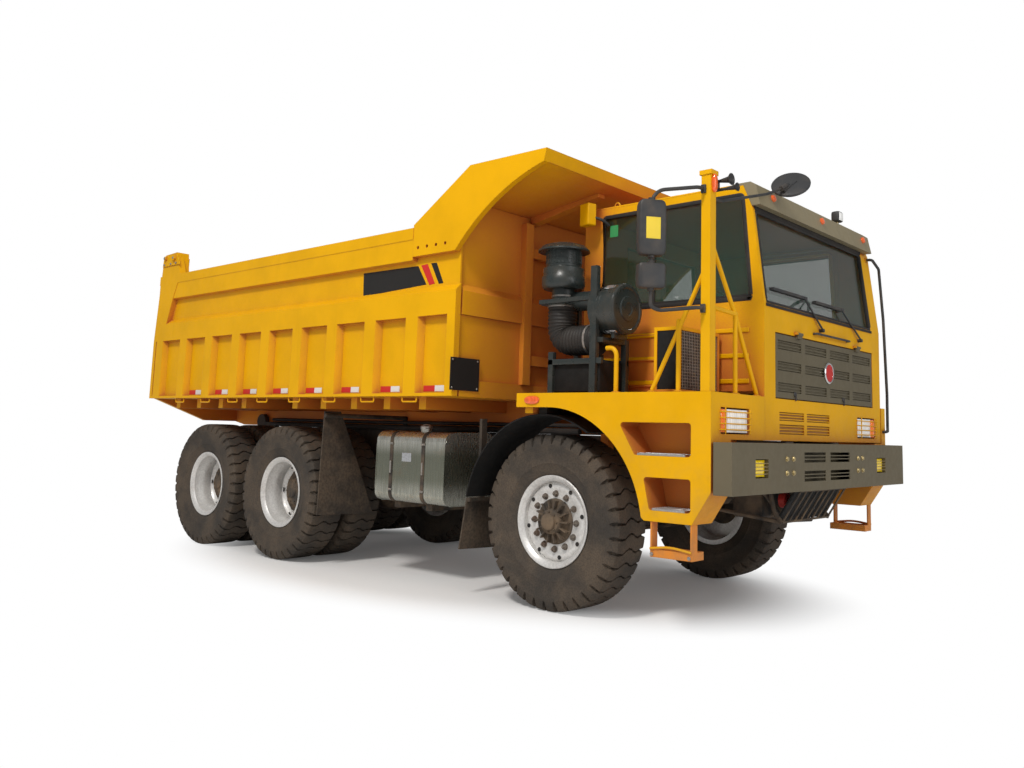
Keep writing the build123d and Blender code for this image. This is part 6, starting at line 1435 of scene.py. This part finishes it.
def make_world(sky):
    """Even sky that the camera sees as white and polished faces see dimmed."""
    world = bpy.data.worlds.new("studio")
    bpy.context.scene.world = world
    world.use_nodes = True
    nodes, links = world.node_tree.nodes, world.node_tree.links
    nodes.clear()
    path = nodes.new("ShaderNodeLightPath")
    strength = nodes.new("ShaderNodeMapRange")
    links.new(path.outputs["Is Camera Ray"], strength.inputs["Value"])
    strength.inputs["To Min"].default_value = sky
    strength.inputs["To Max"].default_value = 1.0
    glossy = nodes.new("ShaderNodeMath")
    glossy.operation = "MULTIPLY_ADD"
    links.new(path.outputs["Is Glossy Ray"], glossy.inputs[0])
    dimmed_share = 0.4
    glossy.inputs[1].default_value = -dimmed_share * sky
    links.new(strength.outputs[0], glossy.inputs[2])
    light = nodes.new("ShaderNodeBackground")
    light.inputs[0].default_value = (1, 1, 1, 1)
    links.new(glossy.outputs[0], light.inputs[1])
    links.new(light.outputs[0], nodes.new("ShaderNodeOutputWorld").inputs[0])


def make_stage(settings):
    """Pale floor that turns white away from the truck's shadow, even sky and soft lamps."""
    size = 60.0
    mesh = bpy.data.meshes.new("floor")
    mesh.from_pydata([(-size, -size, 0), (size, -size, 0), (size, size, 0), (-size, size, 0)], [],
                     [(0, 1, 2, 3)])
    floor = bpy.data.objects.new("floor", mesh)
    bpy.context.scene.collection.objects.link(floor)
    mesh.materials.append(floor_finish())
    make_world(settings.sky)
    area_light("key", (4.5, -11.0, 13.5), (0.5, 0, 1.4), 2.4, settings.key, (1.0, 0.97, 0.93))
    area_light("front_fill", (14.0, -3.0, 5.0), (2.5, 0, 1.6), 6.0, settings.fill)
    bpy.context.scene.view_settings.view_transform = "Standard"


# Settings, operators and panel


class TRUCK_PG_paint(bpy.types.PropertyGroup):
    """Colours of the truck's enamels."""
    yellow: bpy.props.FloatVectorProperty(
        name="Yellow", description="Colour of cab, walkway and dump body", subtype="COLOR",
        size=3, min=0, max=1, default=(0.83, 0.425, 0.0005))
    olive: bpy.props.FloatVectorProperty(
        name="Olive", description="Colour of bumper, grille and visor", subtype="COLOR",
        size=3, min=0, max=1, default=(0.135, 0.112, 0.066))


class TRUCK_PG_tyre(bpy.types.PropertyGroup):
    """Tread of the tyres."""
    lug_count: bpy.props.IntProperty(
        name="Lugs", description="Lugs round a tyre", default=38, min=12, max=60)
    zigzag: bpy.props.FloatProperty(
        name="Zigzag", description="Sideways step of the grooves, as a share of the lug pitch",
        subtype="FACTOR", default=0.55, min=0, max=1)


class TRUCK_PG_studio(bpy.types.PropertyGroup):
    """Strength of the studio's lights."""
    key: bpy.props.FloatProperty(name="Key", description="Power of the key lamp", unit="POWER",
                                 default=1500.0, min=0)
    fill: bpy.props.FloatProperty(name="Fill", description="Power of the front fill lamp",
                                  unit="POWER", default=250.0, min=0)
    sky: bpy.props.FloatProperty(name="Sky", description="Strength of the even sky light",
                                 default=0.52, min=0)


class TRUCK_OT_finishes(bpy.types.Operator):
    """Make the finishes and put them on the truck's CAD nodes"""
    bl_idname = "truck.finishes"
    bl_label = "Finishes"

    def execute(self, context):
        finishes(context.scene.truck_paint)
        dress_nodes()
        return {"FINISHED"}


class TRUCK_OT_wheels(bpy.types.Operator):
    """Build the treaded tyres and the wheels with their nuts and hubs"""
    bl_idname = "truck.wheels"
    bl_label = "Tyres and Wheels"

    def execute(self, context):
        make_wheels(context.scene.truck_tyre)
        return {"FINISHED"}


class TRUCK_OT_body_trim(bpy.types.Operator):
    """Add the dump body's bands, strips, welds, blank plate and bolts"""
    bl_idname = "truck.body_trim"
    bl_label = "Body Trim"

    def execute(self, context):
        make_body_markings()
        make_blank_plate()
        make_welds()
        make_post_bolts()
        return {"FINISHED"}


class TRUCK_OT_cab_trim(bpy.types.Operator):
    """Add the cab's gaskets, latches, ribs, stickers and lamps, and build the mirrors"""
    bl_idname = "truck.cab_trim"
    bl_label = "Cab Trim"

    def execute(self, context):
        make_window_seals()
        make_door_fittings()
        make_grille_fittings()
        make_cab_sides()
        make_lamps()
        make_mirrors()
        return {"FINISHED"}


class TRUCK_OT_cab_inside(bpy.types.Operator):
    """Build the cushioned seat, the instrument shelf and the steering wheel"""
    bl_idname = "truck.cab_inside"
    bl_label = "Cab Inside"

    def execute(self, context):
        make_seat()
        make_dashboard()
        return {"FINISHED"}


class TRUCK_OT_walkway(bpy.types.Operator):
    """Build the intake and its filter, and add the cooler's mesh, checker plate and step teeth"""
    bl_idname = "truck.walkway"
    bl_label = "Walkway and Intake"

    def execute(self, context):
        make_intake()
        make_filter()
        make_cooler_mesh()
        make_deck_checker()
        make_step_teeth()
        make_rail_feet()
        make_step_fittings()
        return {"FINISHED"}


class TRUCK_OT_running_gear(bpy.types.Operator):
    """Build the leaf springs, rods, hoses and looms, and the tank's and bumper's fittings"""
    bl_idname = "truck.running_gear"
    bl_label = "Running Gear"

    def execute(self, context):
        make_front()
        make_tank()
        make_springs()
        make_underbody()
        return {"FINISHED"}


class TRUCK_OT_stage(bpy.types.Operator):
    """Build the floor, sky, lamps and camera"""
    bl_idname = "truck.stage"
    bl_label = "Studio"

    def execute(self, context):
        make_camera()
        make_stage(context.scene.truck_studio)
        return {"FINISHED"}


OPERATORS = (TRUCK_OT_finishes, TRUCK_OT_wheels, TRUCK_OT_body_trim,
             TRUCK_OT_cab_trim, TRUCK_OT_cab_inside,
             TRUCK_OT_walkway, TRUCK_OT_running_gear, TRUCK_OT_stage)
GROUPS = {"truck_paint": TRUCK_PG_paint, "truck_tyre": TRUCK_PG_tyre, "truck_studio": TRUCK_PG_studio}


class TRUCK_PT_panel(bpy.types.Panel):
    """Lists the truck's operators and settings"""
    bl_idname = "TRUCK_PT_panel"
    bl_label = "Dump Truck"
    bl_space_type = "VIEW_3D"
    bl_region_type = "UI"
    bl_category = "Dump Truck"

    def draw(self, context):
        layout = self.layout
        for name in GROUPS:
            group = getattr(context.scene, name)
            box = layout.box()
            for key in group.bl_rna.properties.keys():
                if key not in {"rna_type", "name"}:
                    box.prop(group, key)
        for operator in OPERATORS:
            layout.operator(operator.bl_idname)


def register():
    for item in (*GROUPS.values(), *OPERATORS, TRUCK_PT_panel):
        bpy.utils.register_class(item)
    for name, group in GROUPS.items():
        setattr(bpy.types.Scene, name, bpy.props.PointerProperty(type=group))


def unregister():
    for name in GROUPS:
        delattr(bpy.types.Scene, name)
    for item in reversed((*GROUPS.values(), *OPERATORS, TRUCK_PT_panel)):
        bpy.utils.unregister_class(item)


def main():
    """Builds everything in order."""
    register()
    for operator in OPERATORS:
        group, call = operator.bl_idname.split(".")
        getattr(getattr(bpy.ops, group), call)()
    bpy.context.view_layer.update()


if __name__ == "__main__":
    main()
